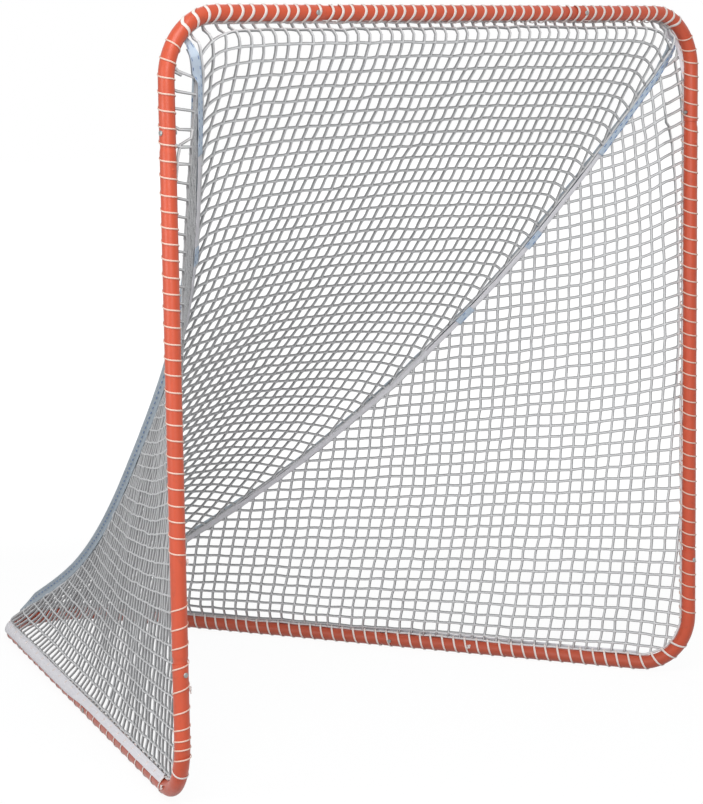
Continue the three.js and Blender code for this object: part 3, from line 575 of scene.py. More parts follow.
def spun(profile, matrix, sides=24):
    """A turned piece: a profile of (radius, height) spun round Z and moved to its place."""
    bm = bmesh.new()
    points = [bm.verts.new((radius, 0, height)) for radius, height in profile]
    edges = [bm.edges.new(pair) for pair in zip(points, points[1:])]
    bmesh.ops.spin(bm, geom=points + edges, cent=(0, 0, 0), axis=(0, 0, 1), angle=2 * math.pi, steps=sides,
                   use_merge=True)
    bmesh.ops.remove_doubles(bm, verts=bm.verts, dist=MERGE)
    bmesh.ops.recalc_face_normals(bm, faces=bm.faces)
    bmesh.ops.transform(bm, matrix=matrix, verts=bm.verts)
    return bm


def dome(radius, base, top, steps):
    """Profile of a rounded head from its rim, at the height base, to its pole at top."""
    turns = [math.pi / 2 * step / steps for step in range(steps)]
    return [(radius * math.cos(turn), base + (top - base) * math.sin(turn)) for turn in turns] + [(0, top)]


def facing(origin, axis):
    """Matrix that stands a piece made along Z on a point, towards an axis."""
    return Matrix.Translation(origin) @ axis.to_track_quat("Z", "Y").to_matrix().to_4x4()


class GOAL_OT_fasteners(bpy.types.Operator):
    """Make the round-headed bolts, their nuts and the locating rivets"""

    bl_idname = "goal.fasteners"
    bl_label = "Bolts, nuts and rivets"

    def execute(self, context):
        zinc = finish("zinc_plated_steel", zinc_plate)
        for name, origin, axis in joints():
            bolt = spun(self.bolt_profile(), facing(origin, axis))
            add_piece(f"round_head_bolt_{name}", mesh_of(name, bolt), zinc, [f"bolt_{name}"])
            nut = self.hex_nut(facing(origin - axis * bolt_seat(), axis))
            add_piece(f"hex_nut_{name}", mesh_of(name, nut, smooth=False), zinc, [f"nut_{name}"])
        radius, rise, sunk = 3.6 * MM, 2 * MM, 0.5 * MM
        paint = finish("powder_coated_steel", powder_coat)
        front = BACK * (sizes().tube / 2 - 0.4 * MM)
        for label, side in SIDES.items():
            origin = Vector((side * HALF_WIDTH, MOUTH_Y, TOP_Z - RIVET_DROP)) - front
            rivet = spun([(0, -sunk), (radius, -sunk), *dome(radius, 0, rise, 5)], facing(origin, -BACK), 16)
            name = f"locating_rivet_{label}"
            add_piece(name, mesh_of(name, rivet), paint)
        return {"FINISHED"}

    def bolt_profile(self):
        """A bolt through the tube: a threaded tail, a shank and a low round head with a straight rim."""
        seat = bolt_seat()
        head, shank, tail = sizes().bolt_head / 2, 2.9 * MM, -(seat + 7 * MM)
        pitch, depth = 1.1 * MM, 0.5 * MM
        profile = [(0, tail), (shank - 0.8 * MM, tail)]
        for turn in range(4):
            root = tail + depth + turn * pitch
            profile += [(shank - depth, root), (shank, root + pitch / 2)]
        return [*profile, (shank, seat), (head, seat), *dome(head, seat + 0.7 * MM, seat + 3 * MM, 6)]

    def hex_nut(self, matrix):
        across_corners = sizes().nut / math.cos(math.pi / 6)
        bm = bmesh.new()
        bmesh.ops.create_circle(bm, segments=6, radius=across_corners / 2, cap_ends=True)
        grown = bmesh.ops.extrude_face_region(bm, geom=bm.faces[:])["geom"]
        lower = [item for item in grown if isinstance(item, bmesh.types.BMVert)]
        bmesh.ops.translate(bm, vec=-UP * NUT_HEIGHT, verts=lower)
        bmesh.ops.bevel(bm, geom=bm.edges[:], offset=0.5 * MM, segments=2, affect="EDGES", profile=0.5,
                        material=-1)
        bmesh.ops.recalc_face_normals(bm, faces=bm.faces)
        bmesh.ops.transform(bm, matrix=matrix, verts=bm.verts)
        return bm


# Shape of the net: places of its panels, worked out for many points at once

# The seam's knots between its ends, as shares of half the mouth's width, of the depth and of the mouth's height
SEAM_SHARES = ((0.881, 0.0129, 0.914), (0.616, 0.1764, 0.612), (0.394, 0.4012, 0.349), (0.192, 0.6292, 0.152))
SEAM_TOP_TURN = math.radians(50)         # where the seam meets the top bend, up from the level of its centre
SEAM_REAR_TURN = math.radians(27)        # where it meets the rear bend, out from the middle
SEAM_TOP_REACH = 15 * MM                 # how far its top knot lies in past the net's edge
BEND_SHARE = math.cos(math.pi / 24)      # a top bend of six flats comes this near to its round


def seam_points(side):
    """Knots of the seam line between the roof and a side, from a top corner down to the rear bend."""
    reach = (BORDER + SEAM_TOP_REACH) * math.sqrt(0.5)
    radius = TOP_BEND * BEND_SHARE - reach
    start = (HALF_WIDTH - TOP_BEND + radius * math.cos(SEAM_TOP_TURN), reach,
             TOP_Z - TOP_BEND + radius * math.sin(SEAM_TOP_TURN))
    end = (REAR_BEND * math.sin(SEAM_REAR_TURN), REAR_Y - MOUTH_Y + REAR_BEND * math.cos(SEAM_REAR_TURN),
           RAIL_Z + BORDER + SEAM_INSET)
    between = [(x * HALF_WIDTH, y * MEETING_DEPTH, RAIL_Z + z * MOUTH_HEIGHT) for x, y, z in SEAM_SHARES]
    return np.array([start, *between, end]) * (side, 1, 1) + (0, MOUTH_Y, 0)


class Seam:
    """The seam line as a smooth curve through its knots, looked up by share of its length or by height."""

    SAMPLES = 801
    HALF_STEP = 0.004       # share of the length that a tangent is measured over, to each side

    def __init__(self, side):
        knots = seam_points(side)
        padded = np.vstack([2 * knots[0] - knots[1], knots, 2 * knots[-1] - knots[-2]])
        places = np.linspace(0, len(knots) - 1, self.SAMPLES)
        index = np.minimum(places.astype(int), len(knots) - 2)
        share = (places - index)[:, None]
        before, start, end, after = (padded[index + i] for i in range(4))
        self.points = 0.5 * (2 * start + (end - before) * share
                             + (2 * before - 5 * start + 4 * end - after) * share ** 2
                             + (3 * start - before - 3 * end + after) * share ** 3)
        steps = np.linalg.norm(np.diff(self.points, axis=0), axis=1)
        self.arc = np.concatenate([[0], np.cumsum(steps)])
        self.length = self.arc[-1]

    def at(self, share):
        distance = np.clip(share, 0, 1) * self.length
        return np.stack([np.interp(distance, self.arc, self.points[:, i]) for i in range(3)], axis=-1)

    def tangent(self, share):
        way = self.at(share + self.HALF_STEP) - self.at(share - self.HALF_STEP)
        return way / np.linalg.norm(way, axis=-1, keepdims=True)


def rail_place(side, points):
    """How far along a rail points lie, how far in from it and how high over its centre line."""
    offset = points - np.array(post_foot(side))
    distance = offset @ np.array(rail_direction(side))
    inward = offset @ np.array(rail_inward(side))
    x, y = points[..., 0], points[..., 1] - REAR_Y
    turn = math.pi / 2 - HALF_ANGLE - np.arctan2(side * x, y)
    round_back = distance > RAIL_STRAIGHT
    distance = np.where(round_back, RAIL_STRAIGHT + turn * REAR_BEND, distance)
    inward = np.where(round_back, REAR_BEND - np.hypot(x, y), inward)
    return np.stack([distance, inward, offset[..., 2]], axis=-1)


def beside_rail(side, distance, inward, height):
    """The same places as points of the goal."""
    foot = np.array(post_foot(side))
    straight = (foot + np.multiply.outer(distance, np.array(rail_direction(side)))
                + np.multiply.outer(inward, np.array(rail_inward(side))))
    turn = math.pi / 2 - HALF_ANGLE - (distance - RAIL_STRAIGHT) / REAR_BEND
    radius = REAR_BEND - inward
    bend = np.stack([side * radius * np.sin(turn), REAR_Y + radius * np.cos(turn),
                     np.full_like(turn, RAIL_Z)], axis=-1)
    points = np.where((distance <= RAIL_STRAIGHT)[..., None], straight, bend)
    points[..., 2] = RAIL_Z + height
    return points


def side_surface(side, seam, places):
    """Points of a side panel from distances along its rail and heights over it.

    A net stretched between a post, a rail and the seam leans in with the product of both, scaled so that it
    meets the seam."""
    out, up = np.maximum(0, places[..., 0] - BORDER), np.maximum(0, places[..., 1] - BORDER)
    edge = rail_place(side, seam.points)
    edge_out, edge_up = edge[:, 0] - BORDER, edge[:, 2] - BORDER
    lean = np.interp(np.arctan2(out, up), np.arctan2(edge_out, edge_up), edge[:, 1] / (edge_out * edge_up))
    return beside_rail(side, places[..., 0], lean * out * up, places[..., 1])


def roof_surface(seam, places):
    """Points of the roof from distances across it and down its seams.

    Its rows are straight lines from seam to seam with a slight crown; the first bend down to follow the top
    bar's corners, and the last round the rear bend."""
    across, share = places[..., 0], np.clip(places[..., 1] / seam.length, 0, 1)
    edge = seam.at(share)
    part = np.minimum(1, np.abs(across) / edge[..., 0])
    crown = ROOF_CROWN * np.sin(math.pi * share) * (1 - part ** 2)
    under = BORDER * -BAR_NET_WAY.z
    radius = TOP_BEND * BEND_SHARE - under
    top_x = part * seam.points[0, 0]
    past = np.maximum(0, top_x - (HALF_WIDTH - TOP_BEND))
    top_y = MOUTH_Y + BORDER * BAR_NET_WAY.y - seam.points[0, 1]
    top_z = TOP_Z - under - radius + np.sqrt(radius ** 2 - past ** 2) - seam.points[0, 2]
    rear_y = REAR_Y + np.sqrt(REAR_BEND ** 2 - (part * seam.points[-1, 0]) ** 2) - seam.points[-1, 1]
    rear_z = RAIL_Z + BORDER - seam.points[-1, 2]
    at_top, at_rear = (1 - share) ** 3, share ** 9
    y = edge[..., 1] + crown + top_y * at_top + rear_y * at_rear
    z = edge[..., 2] + crown + top_z * at_top + rear_z * at_rear
    return np.stack([across, y, z], axis=-1)


def side_inset(side, seam, share, distance):
    """Place on a side panel this far in from the seam."""
    here, before, after = (rail_place(side, seam.at(np.array(share + step))) for step in (0, -0.01, 0.01))
    slope = after - before
    inside = np.array([slope[2], -slope[0]])
    return here[[0, 2]] + inside / np.linalg.norm(inside) * distance


def roof_inset(seam, share, distance):
    """Place on the right half of the roof this far in from the seam."""
    inside = np.array([-1, seam.tangent(np.array(share))[0]])
    here = np.array([seam.at(np.array(share))[0], share * seam.length])
    return here + inside / np.linalg.norm(inside) * distance


EDGE_PLACES = 70


def side_outline(side, seam):
    """Edge of a side panel: down the seam, forward over the rail, round the elbow and up the post."""
    first, last, clear = 0.012, 0.985, 12 * MM
    sewn = [side_inset(side, seam, share, SEAM_INSET) for share in np.linspace(first, last, EDGE_PLACES)]
    sewn = [place for place in sewn if place[1] > BORDER + clear]
    radius = BOTTOM_BEND - BORDER
    elbow = [(BOTTOM_BEND - radius * math.sin(turn), BOTTOM_BEND - radius * math.cos(turn))
             for turn in (math.pi / 2 * step / 8 for step in range(9))]
    return np.array([*sewn, (sewn[-1][0], BORDER), *elbow, (BORDER, POST_STRAIGHT)])


def roof_outline(seam):
    """Edge of the roof: down one seam, across the rear bend, up the other seam, across the top bar."""
    edge = np.array([roof_inset(seam, share, SEAM_INSET) for share in np.linspace(0, 1, EDGE_PLACES)])
    edge[0, 1], edge[-1, 1] = 0, seam.length
    return np.vstack([edge, edge[::-1] * (-1, 1)])


def dense(outline, step=20 * MM):
    """The same closed outline with a point at least every step."""
    places = []
    for start, end in zip(outline, np.roll(outline, -1, axis=0)):
        count = max(1, math.ceil(np.linalg.norm(end - start) / step))
        places += [start + (end - start) * i / count for i in range(count)]
    return np.array(places)


def depth_inside(outline, places):
    """Distance of each place from a closed outline, positive inside it."""
    start, run = outline, np.roll(outline, -1, axis=0) - outline
    offset = places[:, None] - start
    share = np.clip((offset * run).sum(-1) / (run * run).sum(-1), 0, 1)
    distance = np.linalg.norm(offset - share[..., None] * run, axis=-1).min(axis=1)
    end = start + run
    crosses = (start[:, 1] > places[:, None, 1]) != (end[:, 1] > places[:, None, 1])
    with np.errstate(divide="ignore", invalid="ignore"):
        at = start[:, 0] + (places[:, None, 1] - start[:, 1]) / run[:, 1] * run[:, 0]
    inside = (crosses & (places[:, None, 0] < at)).sum(axis=1) % 2 == 1
    return np.where(inside, distance, -distance)


def clipped(outline, places, widths):
    """Runs of a strand inside an outline, each ending on the outline."""
    depth = depth_inside(outline, places)
    runs, run = [], []

    def crossing(i):
        share = depth[i - 1] / (depth[i - 1] - depth[i])
        return places[i - 1] + share * (places[i] - places[i - 1]), 1.0
    for i, here in enumerate(depth):
        if here > 0 and i and depth[i - 1] <= 0:
            run = [crossing(i)]
        if here > 0:
            run.append((places[i], widths[i]))
        elif run:
            runs.append([*run, crossing(i)])
            run = []
    return [run for run in runs if len(run) > 2]


# Shares of a mesh at which a strand has a point, and how thick it is there
KNOT_STEPS = (0, 0.14, 0.5, 0.86)
KNOT_WIDTHS = (1.3, 1.0, 0.97, 1.0)
SETTLING_ROUNDS = 14


def strand_run(count_from, count_to):
    """Counts along a strand, four to a mesh, and how thick it is at each: thickest in the knots."""
    counts = [whole + step for whole in range(count_from, count_to) for step in KNOT_STEPS]
    return np.array(counts), np.tile(KNOT_WIDTHS, count_to - count_from)


def side_mesh_place(side, column, row):
    """Distance and height of a knot of a side net, whose rows fan from the post and fall towards the back.

    The left net hangs a little looser than the right one, and its rows fall sooner. The right net's lower rows
    sag towards the rail, and the columns of both bow back at half their height. A knot's distance and height
    depend on each other, so they are found in rounds."""
    mesh = sizes().side_mesh
    column, row = np.broadcast_arrays(np.asarray(column, float), np.asarray(row, float))
    distance = column * mesh
    for _ in range(SETTLING_ROUNDS):
        along = np.maximum(distance, 0)
        if side < 0:
            height = row * mesh * 1.04 * (0.68 + 0.36 * np.exp(-along / 0.75))
        else:
            at_post = row * mesh * 0.975
            fan = 0.08 * (at_post - 0.45) * (1 - np.exp(-along / 0.12))
            sag = 0.034 * (1 - np.exp(-along / 0.4)) * np.exp(-(at_post / 0.32) ** 2)
            height = at_post * (1 - 0.127 * distance) - fan - sag
        level = height / MOUTH_HEIGHT
        distance = column * mesh * (1.03 - 0.35 * level) - 0.26 * level * (1 - level)
    return np.stack([distance, height], axis=-1)


def roof_mesh_place(seam, column, row):
    """Place of a knot of the roof net, whose columns spread at the top bar and rows droop at the seams."""
    column, row = np.broadcast_arrays(np.asarray(column, float), np.asarray(row, float))
    down = (row - 0.45) * sizes().roof_rows
    across = column * sizes().roof_mesh * (1 + 0.085 * np.exp(-np.maximum(down, 0) / 0.16))
    to_seam = np.maximum(0, seam.at(down / seam.length)[..., 0] - np.abs(across))
    droop = (0.058 * np.exp(-np.maximum(down, 0) / 0.4) + 0.012) * np.exp(-to_seam / 0.06)
    return np.stack([across, down + droop], axis=-1)


SETTLING_SEED = 7


def settled(points):
    """The small unevenness of a hung net: long slow waves and short ones, the same at the same place."""
    noise.seed_set(SETTLING_SEED)
    waves = ((4.0, Vector((3.1, 7.7, 1.3)), 4.5 * MM), (21.0, Vector((9.2, 0.4, 5.8)), 2.8 * MM))
    return [sum((noise.noise_vector(place * waves_per_metre + start) * reach
                 for waves_per_metre, start, reach in waves), place) for place in map(Vector, points)]


def strand_curve(name, diameter, runs, capped=True):
    """Strands as one curve; each run is its points, its thickness at each, and whether it is closed."""
    curve = bpy.data.curves.new(name, "CURVE")
    curve.dimensions = "3D"
    curve.bevel_depth = diameter / 2
    curve.bevel_resolution = 1
    curve.use_fill_caps = capped
    for points, widths, closed in runs:
        spline = curve.splines.new("POLY")
        spline.points.add(len(points) - 1)
        spline.points.foreach_set("co", [part for point in points for part in (*point, 1.0)])
        spline.points.foreach_set("radius", list(widths))
        spline.use_cyclic_u = closed
    return curve


def panel_normals(surface, places):
    """Unit normals of a panel's surface at its places."""
    nearby = 2 * MM
    one, other = (surface(places + step) - surface(places - step) for step in ((nearby, 0), (0, nearby)))
    normals = np.cross(one, other)
    return normals / np.maximum(np.linalg.norm(normals, axis=-1, keepdims=True), 1e-12)


EDGE_FLANK = 0.45       # the edge cord's flanks get this share of the net's painted flank shade


def net_piece(name, node, outline, surface, strands):
    """A net panel: its strands clipped to its outline, laid on its surface and bound by an edge cord.

    Its attribute flank says how far round a strand each point lies: 0 on the panel's faces, 1 between them."""
    edge = dense(outline)
    thick = sizes().edge_twine / sizes().twine
    laid = [(edge, [thick] * len(edge), True)]
    for places, widths in strands:
        for run in clipped(outline, places, widths):
            laid.append((np.array([place for place, _ in run]), [width for _, width in run], False))
    runs = [(settled(surface(places)), *rest) for places, *rest in laid]
    curve = strand_curve(name, sizes().twine, runs, capped=False)
    holder = bpy.data.objects.new(name, curve)
    mesh = bpy.data.meshes.new_from_object(holder)
    bpy.data.objects.remove(holder)
    normals = np.concatenate([panel_normals(surface, places) for places, _, _ in laid])
    rings = np.empty(len(mesh.vertices) * 3, np.float32)
    mesh.vertices.foreach_get("co", rings)
    rings = rings.reshape(len(normals), -1, 3)
    outward = rings - rings.mean(axis=1, keepdims=True)
    outward /= np.linalg.norm(outward, axis=-1, keepdims=True)
    # The twine's material darkens each point by its flank as painted shade
    flank = 1 - np.abs((outward * normals[:, None]).sum(axis=-1))
    flank[:len(edge)] *= EDGE_FLANK
    values = flank.ravel().astype(np.float32)
    mesh.attributes.new("flank", "FLOAT", "POINT").data.foreach_set("value", values)
    bm = bmesh.new()
    bm.from_mesh(mesh)
    bmesh.ops.holes_fill(bm, edges=[edge for edge in bm.edges if edge.is_boundary])
    bm.to_mesh(mesh)
    bm.free()
    return add_piece(name, mesh, finish("braided_polyester_twine", braided_twine), [node])


class GOAL_OT_side_nets(bpy.types.Operator):
    """Knot the two side nets between their posts, rails and seams"""

    bl_idname = "goal.side_nets"
    bl_label = "Side nets"

    def execute(self, context):
        # Both nets have more rows and columns than fit, because their outlines clip them
        for label, side in SIDES.items():
            seam = Seam(side)
            columns, widths = strand_run(-4, 92)
            strands = [(side_mesh_place(side, columns, row), widths) for row in range(1, 52)]
            rows, widths = strand_run(-2, 56)
            strands += [(side_mesh_place(side, column, rows), widths) for column in range(-2, 92)]
            surface = lambda places, side=side, seam=seam: side_surface(side, seam, places)
            outline = side_outline(side, seam)
            net_piece(f"knotted_side_{label}", f"side_net_{label}", outline, surface, strands)
        return {"FINISHED"}


class GOAL_OT_roof_net(bpy.types.Operator):
    """Knot the roof net between the top bar, the two seams and the rear bend"""

    bl_idname = "goal.roof_net"
    bl_label = "Roof net"

    def execute(self, context):
        seam = Seam(1)
        last_row = math.ceil(seam.length / sizes().roof_rows) + 2
        columns, widths = strand_run(-26, 27)
        strands = [(roof_mesh_place(seam, columns, row), widths) for row in range(1, last_row)]
        rows, widths = strand_run(-3, last_row)
        strands += [(roof_mesh_place(seam, column, rows), widths) for column in range(-25, 26)]
        surface = lambda places: roof_surface(seam, places)
        net_piece("knotted_roof", "roof_net", roof_outline(seam), surface, strands)
        return {"FINISHED"}


# Tapes

BINDING_WIDTH = 54 * MM     # each tape's width, measured round its section
LINING_WIDTH = 15 * MM
PATCH_WIDTH = 20 * MM
GUSSET_WIDTH = 12 * MM
HEM_WIDTH = 31 * MM
LINING_REACH = 9 * MM       # how far the lining inside a seam goes out over each net, and its patches
PATCH_REACH = 12.5 * MM
PATCH_RISE = 1.6 * MM       # from the lining's middle in to the patch's
CORD_CLEARANCE = 0.9 * MM   # from the edge cord to the middle of a tape that lies on it
BINDING_ENDS = (0.011, 0.995)            # as shares of the seam's length, like the patches below
LINING_ENDS = (0.002, 0.99)
SECTION_COUNT = 121
PATCHES = {"left": ((0.0, 0.12), (0.228, 0.25)), "right": ((0.0, 0.145), (0.245, 0.267), (0.354, 0.376))}
# Rows of stitches: place across the tape, and how high a stitch's ends and its middle stand over it
BINDING_ROWS = ((0.3, 0.4 * MM, 2.1 * MM), (0.7, 0.4 * MM, 2.1 * MM))
PATCH_ROWS = ((0.15, 1.8 * MM, 2.9 * MM), (0.85, 1.8 * MM, 2.9 * MM))
STITCHED_ENDS = (0.05, 0.97)
THREAD_WIDTH = 2.2 * MM     # thicker than sewing thread, to show in the render


def cloth_grid(name, long_steps, wide_steps, size, place, thickness, round_section=False):
    """A grid laid at place(along, across), with a UV map in metres, and then given its thickness.

    A round section is closed on itself instead."""
    bm = bmesh.new()
    layer = bm.loops.layers.uv.new("UVMap")
    bmesh.ops.create_grid(bm, x_segments=long_steps, y_segments=wide_steps, size=0.5)
    for face in bm.faces:
        for loop in face.loops:
            loop[layer].uv = ((loop.vert.co.x + 0.5) * size[0], (loop.vert.co.y + 0.5) * size[1])
    for vert in bm.verts:
        vert.co = place(vert.co.x + 0.5, vert.co.y + 0.5)
    if round_section:
        bmesh.ops.remove_doubles(bm, verts=bm.verts, dist=MERGE)
        bmesh.ops.holes_fill(bm, edges=[edge for edge in bm.edges if edge.is_boundary])
    bmesh.ops.recalc_face_normals(bm, faces=bm.faces)
    if not round_section:
        bmesh.ops.solidify(bm, geom=bm.faces[:], thickness=thickness)
    return mesh_of(name, bm)


def seam_section(side, seam, share):
    """Frame of a seam: its point, its two ways in over the roof and the side, and their outward normals."""
    right = Seam(1)
    point = Vector(seam.at(np.array(share)))
    tangent = Vector(seam.tangent(np.array(share)))
    roof_place = roof_inset(right, share, TAPE_LIP)
    on_roof = Vector(roof_surface(right, np.array([roof_place]))[0])
    on_roof.x *= side
    on_side = Vector(side_surface(side, seam, np.array([side_inset(side, seam, share, TAPE_LIP)]))[0])
    roof_way, side_way = (way - tangent * way.dot(tangent) for way in (on_roof - point, on_side - point))
    roof_way.normalize()
    side_way.normalize()
    return point, roof_way, side_way, tangent.cross(roof_way) * side, side_way.cross(tangent) * side


def seam_sections(side, seam, ends):
    return [seam_section(side, seam, share) for share in np.linspace(*ends, SECTION_COUNT)]


def section_at(sections, along):
    """The frame at a share of the way through sections, blended from the two next to it."""
    count = len(sections) - 1
    index = min(int(along * count), count - 1)
    share = along * count - index
    return [before.lerp(after, share) for before, after in zip(sections[index], sections[index + 1])]


def seam_surface(sections):
    """Function that places a point of the folded tape, from its lip on the side net over to the roof's.

    Both nets' edges are sewn in between the tape's two layers, which stand out from them as a fin. The fin is
    lower towards the seam's ends and sways a little."""
    full = sizes().seam_fin
    lay = SEAM_LIFT + CORD_CLEARANCE

    def place(along, across, rise=0.0):
        point, roof_way, side_way, roof_out, side_out = section_at(sections, along)
        ridge = (roof_out + side_out).normalized()
        top = full * min(1.0, 0.4 + along / 0.3, 0.4 + (1 - along) / 0.09)
        flank = (roof_way - side_way).normalized() * (1 if across > 0.5 else -1)
        way, out = (roof_way, roof_out) if across > 0.5 else (side_way, side_out)
        reach = abs(across - 0.5) * 2
        # The section's corners from the fold's top to its lip, each at a share of the way to the tape's edge
        fold = ((0, ridge * top), (0.08, ridge * (top - 1.4 * MM) + flank * 1.7 * MM),
                (0.62, ridge * 7 * MM + flank * 2 * MM), (0.76, out * lay + way * 5 * MM),
                (1, out * lay + way * TAPE_LIP))
        for (low, before), (high, after) in zip(fold, fold[1:]):
            if low <= reach <= high + 1e-6:
                offset = before.lerp(after, (reach - low) / (high - low))
        sway = noise.noise(point * 13) * 5 * MM * max(0.0, 0.6 - reach)
        return point + offset + (roof_way - side_way).normalized() * sway + flank * rise
    return place


def lining_surface(sections, reach):
    """Function that places a point of a tape sewn inside a seam, from the roof over to the side net."""
    under_cord = sizes().edge_twine / 2 + CORD_CLEARANCE

    def place(along, across, rise=0.0):
        point, roof_way, side_way, roof_out, side_out = section_at(sections, along)
        ends = [way * reach - out * (under_cord + rise)
                for way, out in ((roof_way, roof_out), (side_way, side_out))]
        wave = noise.noise(point * 19 + Vector((0, 0, across * 0.4))) * 1.5 * MM
        return point + ends[0].lerp(ends[1], across) + (roof_way - side_way).normalized() * wave
    return place


class GOAL_OT_seam_tapes(bpy.types.Operator):
    """Fold a woven tape over each seam, stitch it down, and patch the net's top corners"""

    bl_idname = "goal.seam_tapes"
    bl_label = "Seam tapes and corner patches"

    def execute(self, context):
        for label, side in SIDES.items():
            seam = Seam(side)
            place = seam_surface(seam_sections(side, seam, BINDING_ENDS))
            name = f"seam_binding_{label}"
            mesh = cloth_grid(name, 300, 26, (seam.length, BINDING_WIDTH), place, sizes().tape)
            add_piece(name, mesh, finish("woven_polyester_tape", seam_tape), [f"seam_tape_{label}"])
            inner_sections = seam_sections(side, seam, LINING_ENDS)
            lining = lining_surface(inner_sections, LINING_REACH)
            name = f"seam_lining_{label}"
            mesh = cloth_grid(name, 320, 6, (seam.length, LINING_WIDTH), lining, sizes().tape)
            add_piece(name, mesh, finish("ribbed_polyester_webbing", hem_webbing))
            on_patch = lining_surface(inner_sections, PATCH_REACH)
            for number, ends in enumerate(PATCHES[label], 1):
                self.patch(f"seam_patch_{label}_{number}", seam, on_patch, *ends)
            rows = [(across, *STITCHED_ENDS, low, high) for across, low, high in BINDING_ROWS]
            self.stitches(f"seam_stitches_{label}", seam, place, rows)
            rows = [(across, start, end - 0.006, low, high) for across, low, high in PATCH_ROWS
                    for start, end in PATCHES[label]]
            self.stitches(f"patch_stitches_{label}", seam, on_patch, rows)
            self.corner_patch(label, side)
        return {"FINISHED"}

    def patch(self, name, seam, on_patch, start, end):
        """A piece of tape on the lining, between two shares of the seam's length."""
        laid = lambda along, across: on_patch(start + (end - start) * along, across, PATCH_RISE)
        mesh = cloth_grid(name, 60, 6, ((end - start) * seam.length, PATCH_WIDTH), laid, sizes().tape)
        add_piece(name, mesh, finish("pale_woven_tape", patch_tape))

    def stitches(self, name, seam, place, rows):
        """Rows of long stitches on a tape, each given by its place across, its two ends and its two heights."""
        runs = []
        pitch = sizes().stitch_pitch / seam.length
        for row, (across, first, last, low, high) in enumerate(rows):
            for i in range(math.ceil(first / pitch), int(last / pitch) + 1):
                start = (i + 0.5 * (row % 2)) * pitch
                end = start + sizes().stitch / seam.length
                points = [place(start, across, low), place((start * 3 + end) / 4, across, high),
                          place((start + end * 3) / 4, across, high), place(end, across, low)]
                runs.append((points, (1, 1, 1, 1), False))
        curve = strand_curve(name, THREAD_WIDTH, runs)
        add_piece(name, curve, finish("bonded_nylon_thread", thread))

    def corner_patch(self, label, side):
        """A narrow gusset of webbing round the inside of a top bend, widest where the seam meets it."""
        low, high = math.radians(-12), math.radians(102)
        half_head = math.radians(22)
        length = TOP_BEND * (high - low)
        narrow, head, bulge = 13 * MM, 12 * MM, 1.5 * MM

        def place(along, across):
            turn = low + (high - low) * along
            point, _ = front_line(side, POST_STRAIGHT + TOP_BEND * turn)
            inward = -Vector((side * math.cos(turn), 0, math.sin(turn)))
            way = (inward * 0.78 + BACK * 0.62).normalized()
            ends = math.sin(math.pi * along) ** 0.4
            reach = narrow * ends + head * max(0.0, 1 - abs(turn - SEAM_TOP_TURN) / half_head)
            start = point + way * (sizes().tube / 2 + CORD_CLEARANCE)
            front = (inward - way * inward.dot(way)).normalized()
            wave = noise.noise(start * 30 + way * across * 2) * bulge
            return start + way * reach * across + front * (bulge * across + wave * across)
        name = f"corner_patch_{label}"
        mesh = cloth_grid(name, 60, 8, (length, GUSSET_WIDTH), place, sizes().tape)
        patch = add_piece(name, mesh, finish("ribbed_polyester_webbing", hem_webbing))


class GOAL_OT_hem_tapes(bpy.types.Operator):
    """Lay the webbing that hems the net over the lacing and the outside of each ground rail"""

    bl_idname = "goal.hem_tapes"
    bl_label = "Hem webbing"

    def execute(self, context):
        webbing = finish("ribbed_polyester_webbing", hem_webbing)
        over_lace = sizes().tube / 2 + sizes().lace_thickness + 1.2 * MM
        first, last = BOTTOM_BEND, REAR_MIDDLE - 12 * MM
        on_tube = math.radians(20)      # from straight up round to where the webbing comes to lie on the rail
        net_share = 0.2                 # of its width, which lies on the net above that
        for label, side in SIDES.items():
            def place(along, across, side=side):
                distance = first + along * (last - first)
                point, direction = ground_line(side, distance)
                out = direction.cross(UP) * side
                # Its lower edge hangs further down the rail from 0.82 m on, and both its edge and its face wave
                further = eased(clamped((distance - 0.82) / 0.35))
                uneven = noise.noise(Vector((distance * 9, 0.7, side * 3.0))) * 0.06
                low_edge = math.radians(57 + 24 * further) + uneven
                puff = 0.9 * MM * (1 + noise.noise(Vector((distance * 23, across * 2, side * 5.0))))
                on_net = out * 5.4 * MM + UP * (BORDER + 8 * MM)
                share = max(0, across - net_share) / (1 - net_share)
                turn = on_tube + (low_edge - on_tube) * share
                on_rail = (UP * math.cos(turn) + out * math.sin(turn)) * (over_lace + puff)
                return point + (on_rail if share > 0 else on_net.lerp(on_rail, across / net_share))
            name = f"hem_webbing_{label}"
            mesh = cloth_grid(name, 260, 12, (last - first, HEM_WIDTH), place, sizes().tape)
            add_piece(name, mesh, webbing, [f"hem_tape_{label}"])
        return {"FINISHED"}


# Lacing

# Heights in metres at which the lace crosses the front of the left post below its bare stretch
LEFT_WRAPS = (0.132, 0.159, 0.174, 0.203, 0.241, 0.3, 0.356, 0.401, 0.445, 0.492)
LEFT_KNOT = 0.6             # height of the knot that ends the upper lace
RIGHT_LACE_FOOT = 0.16
LACE_SLANT = 0.3            # share of a turn's advance that falls on its open front
LOWER_SLANT = 0.42          # the same on the left post's lower run
RAIL_PITCH = 36 * MM
# Distances at which the rails' laces cross the net on the elbow, and the first on the rail
ELBOW_PASSES = [-19 * MM, 19 * MM, 60 * MM, 101 * MM]
FIRST_RAIL_PASS = 142 * MM
BARE_ELBOW_TURN = 2         # on the left elbow this turn doesn't go round the tube
TURN_STEPS = 22             # points of a lace in one turn
KNOT_CORD = 3.4 * MM
# Knots on the posts: side, height, which way it faces along the open side, and size
POST_KNOTS = ((-1, 0.298, 1, 5 * MM), (-1, LEFT_KNOT, 1, 4.5 * MM), (1, 0.168, -1, 4.5 * MM))
# Knots on the ground tubes: side, distance, which way it faces across the rail, and size
RAIL_KNOTS = ((-1, 0.118, -1, 5 * MM), (1, 0.118, -1, 5 * MM), (1, 0.66, 1, 5 * MM))


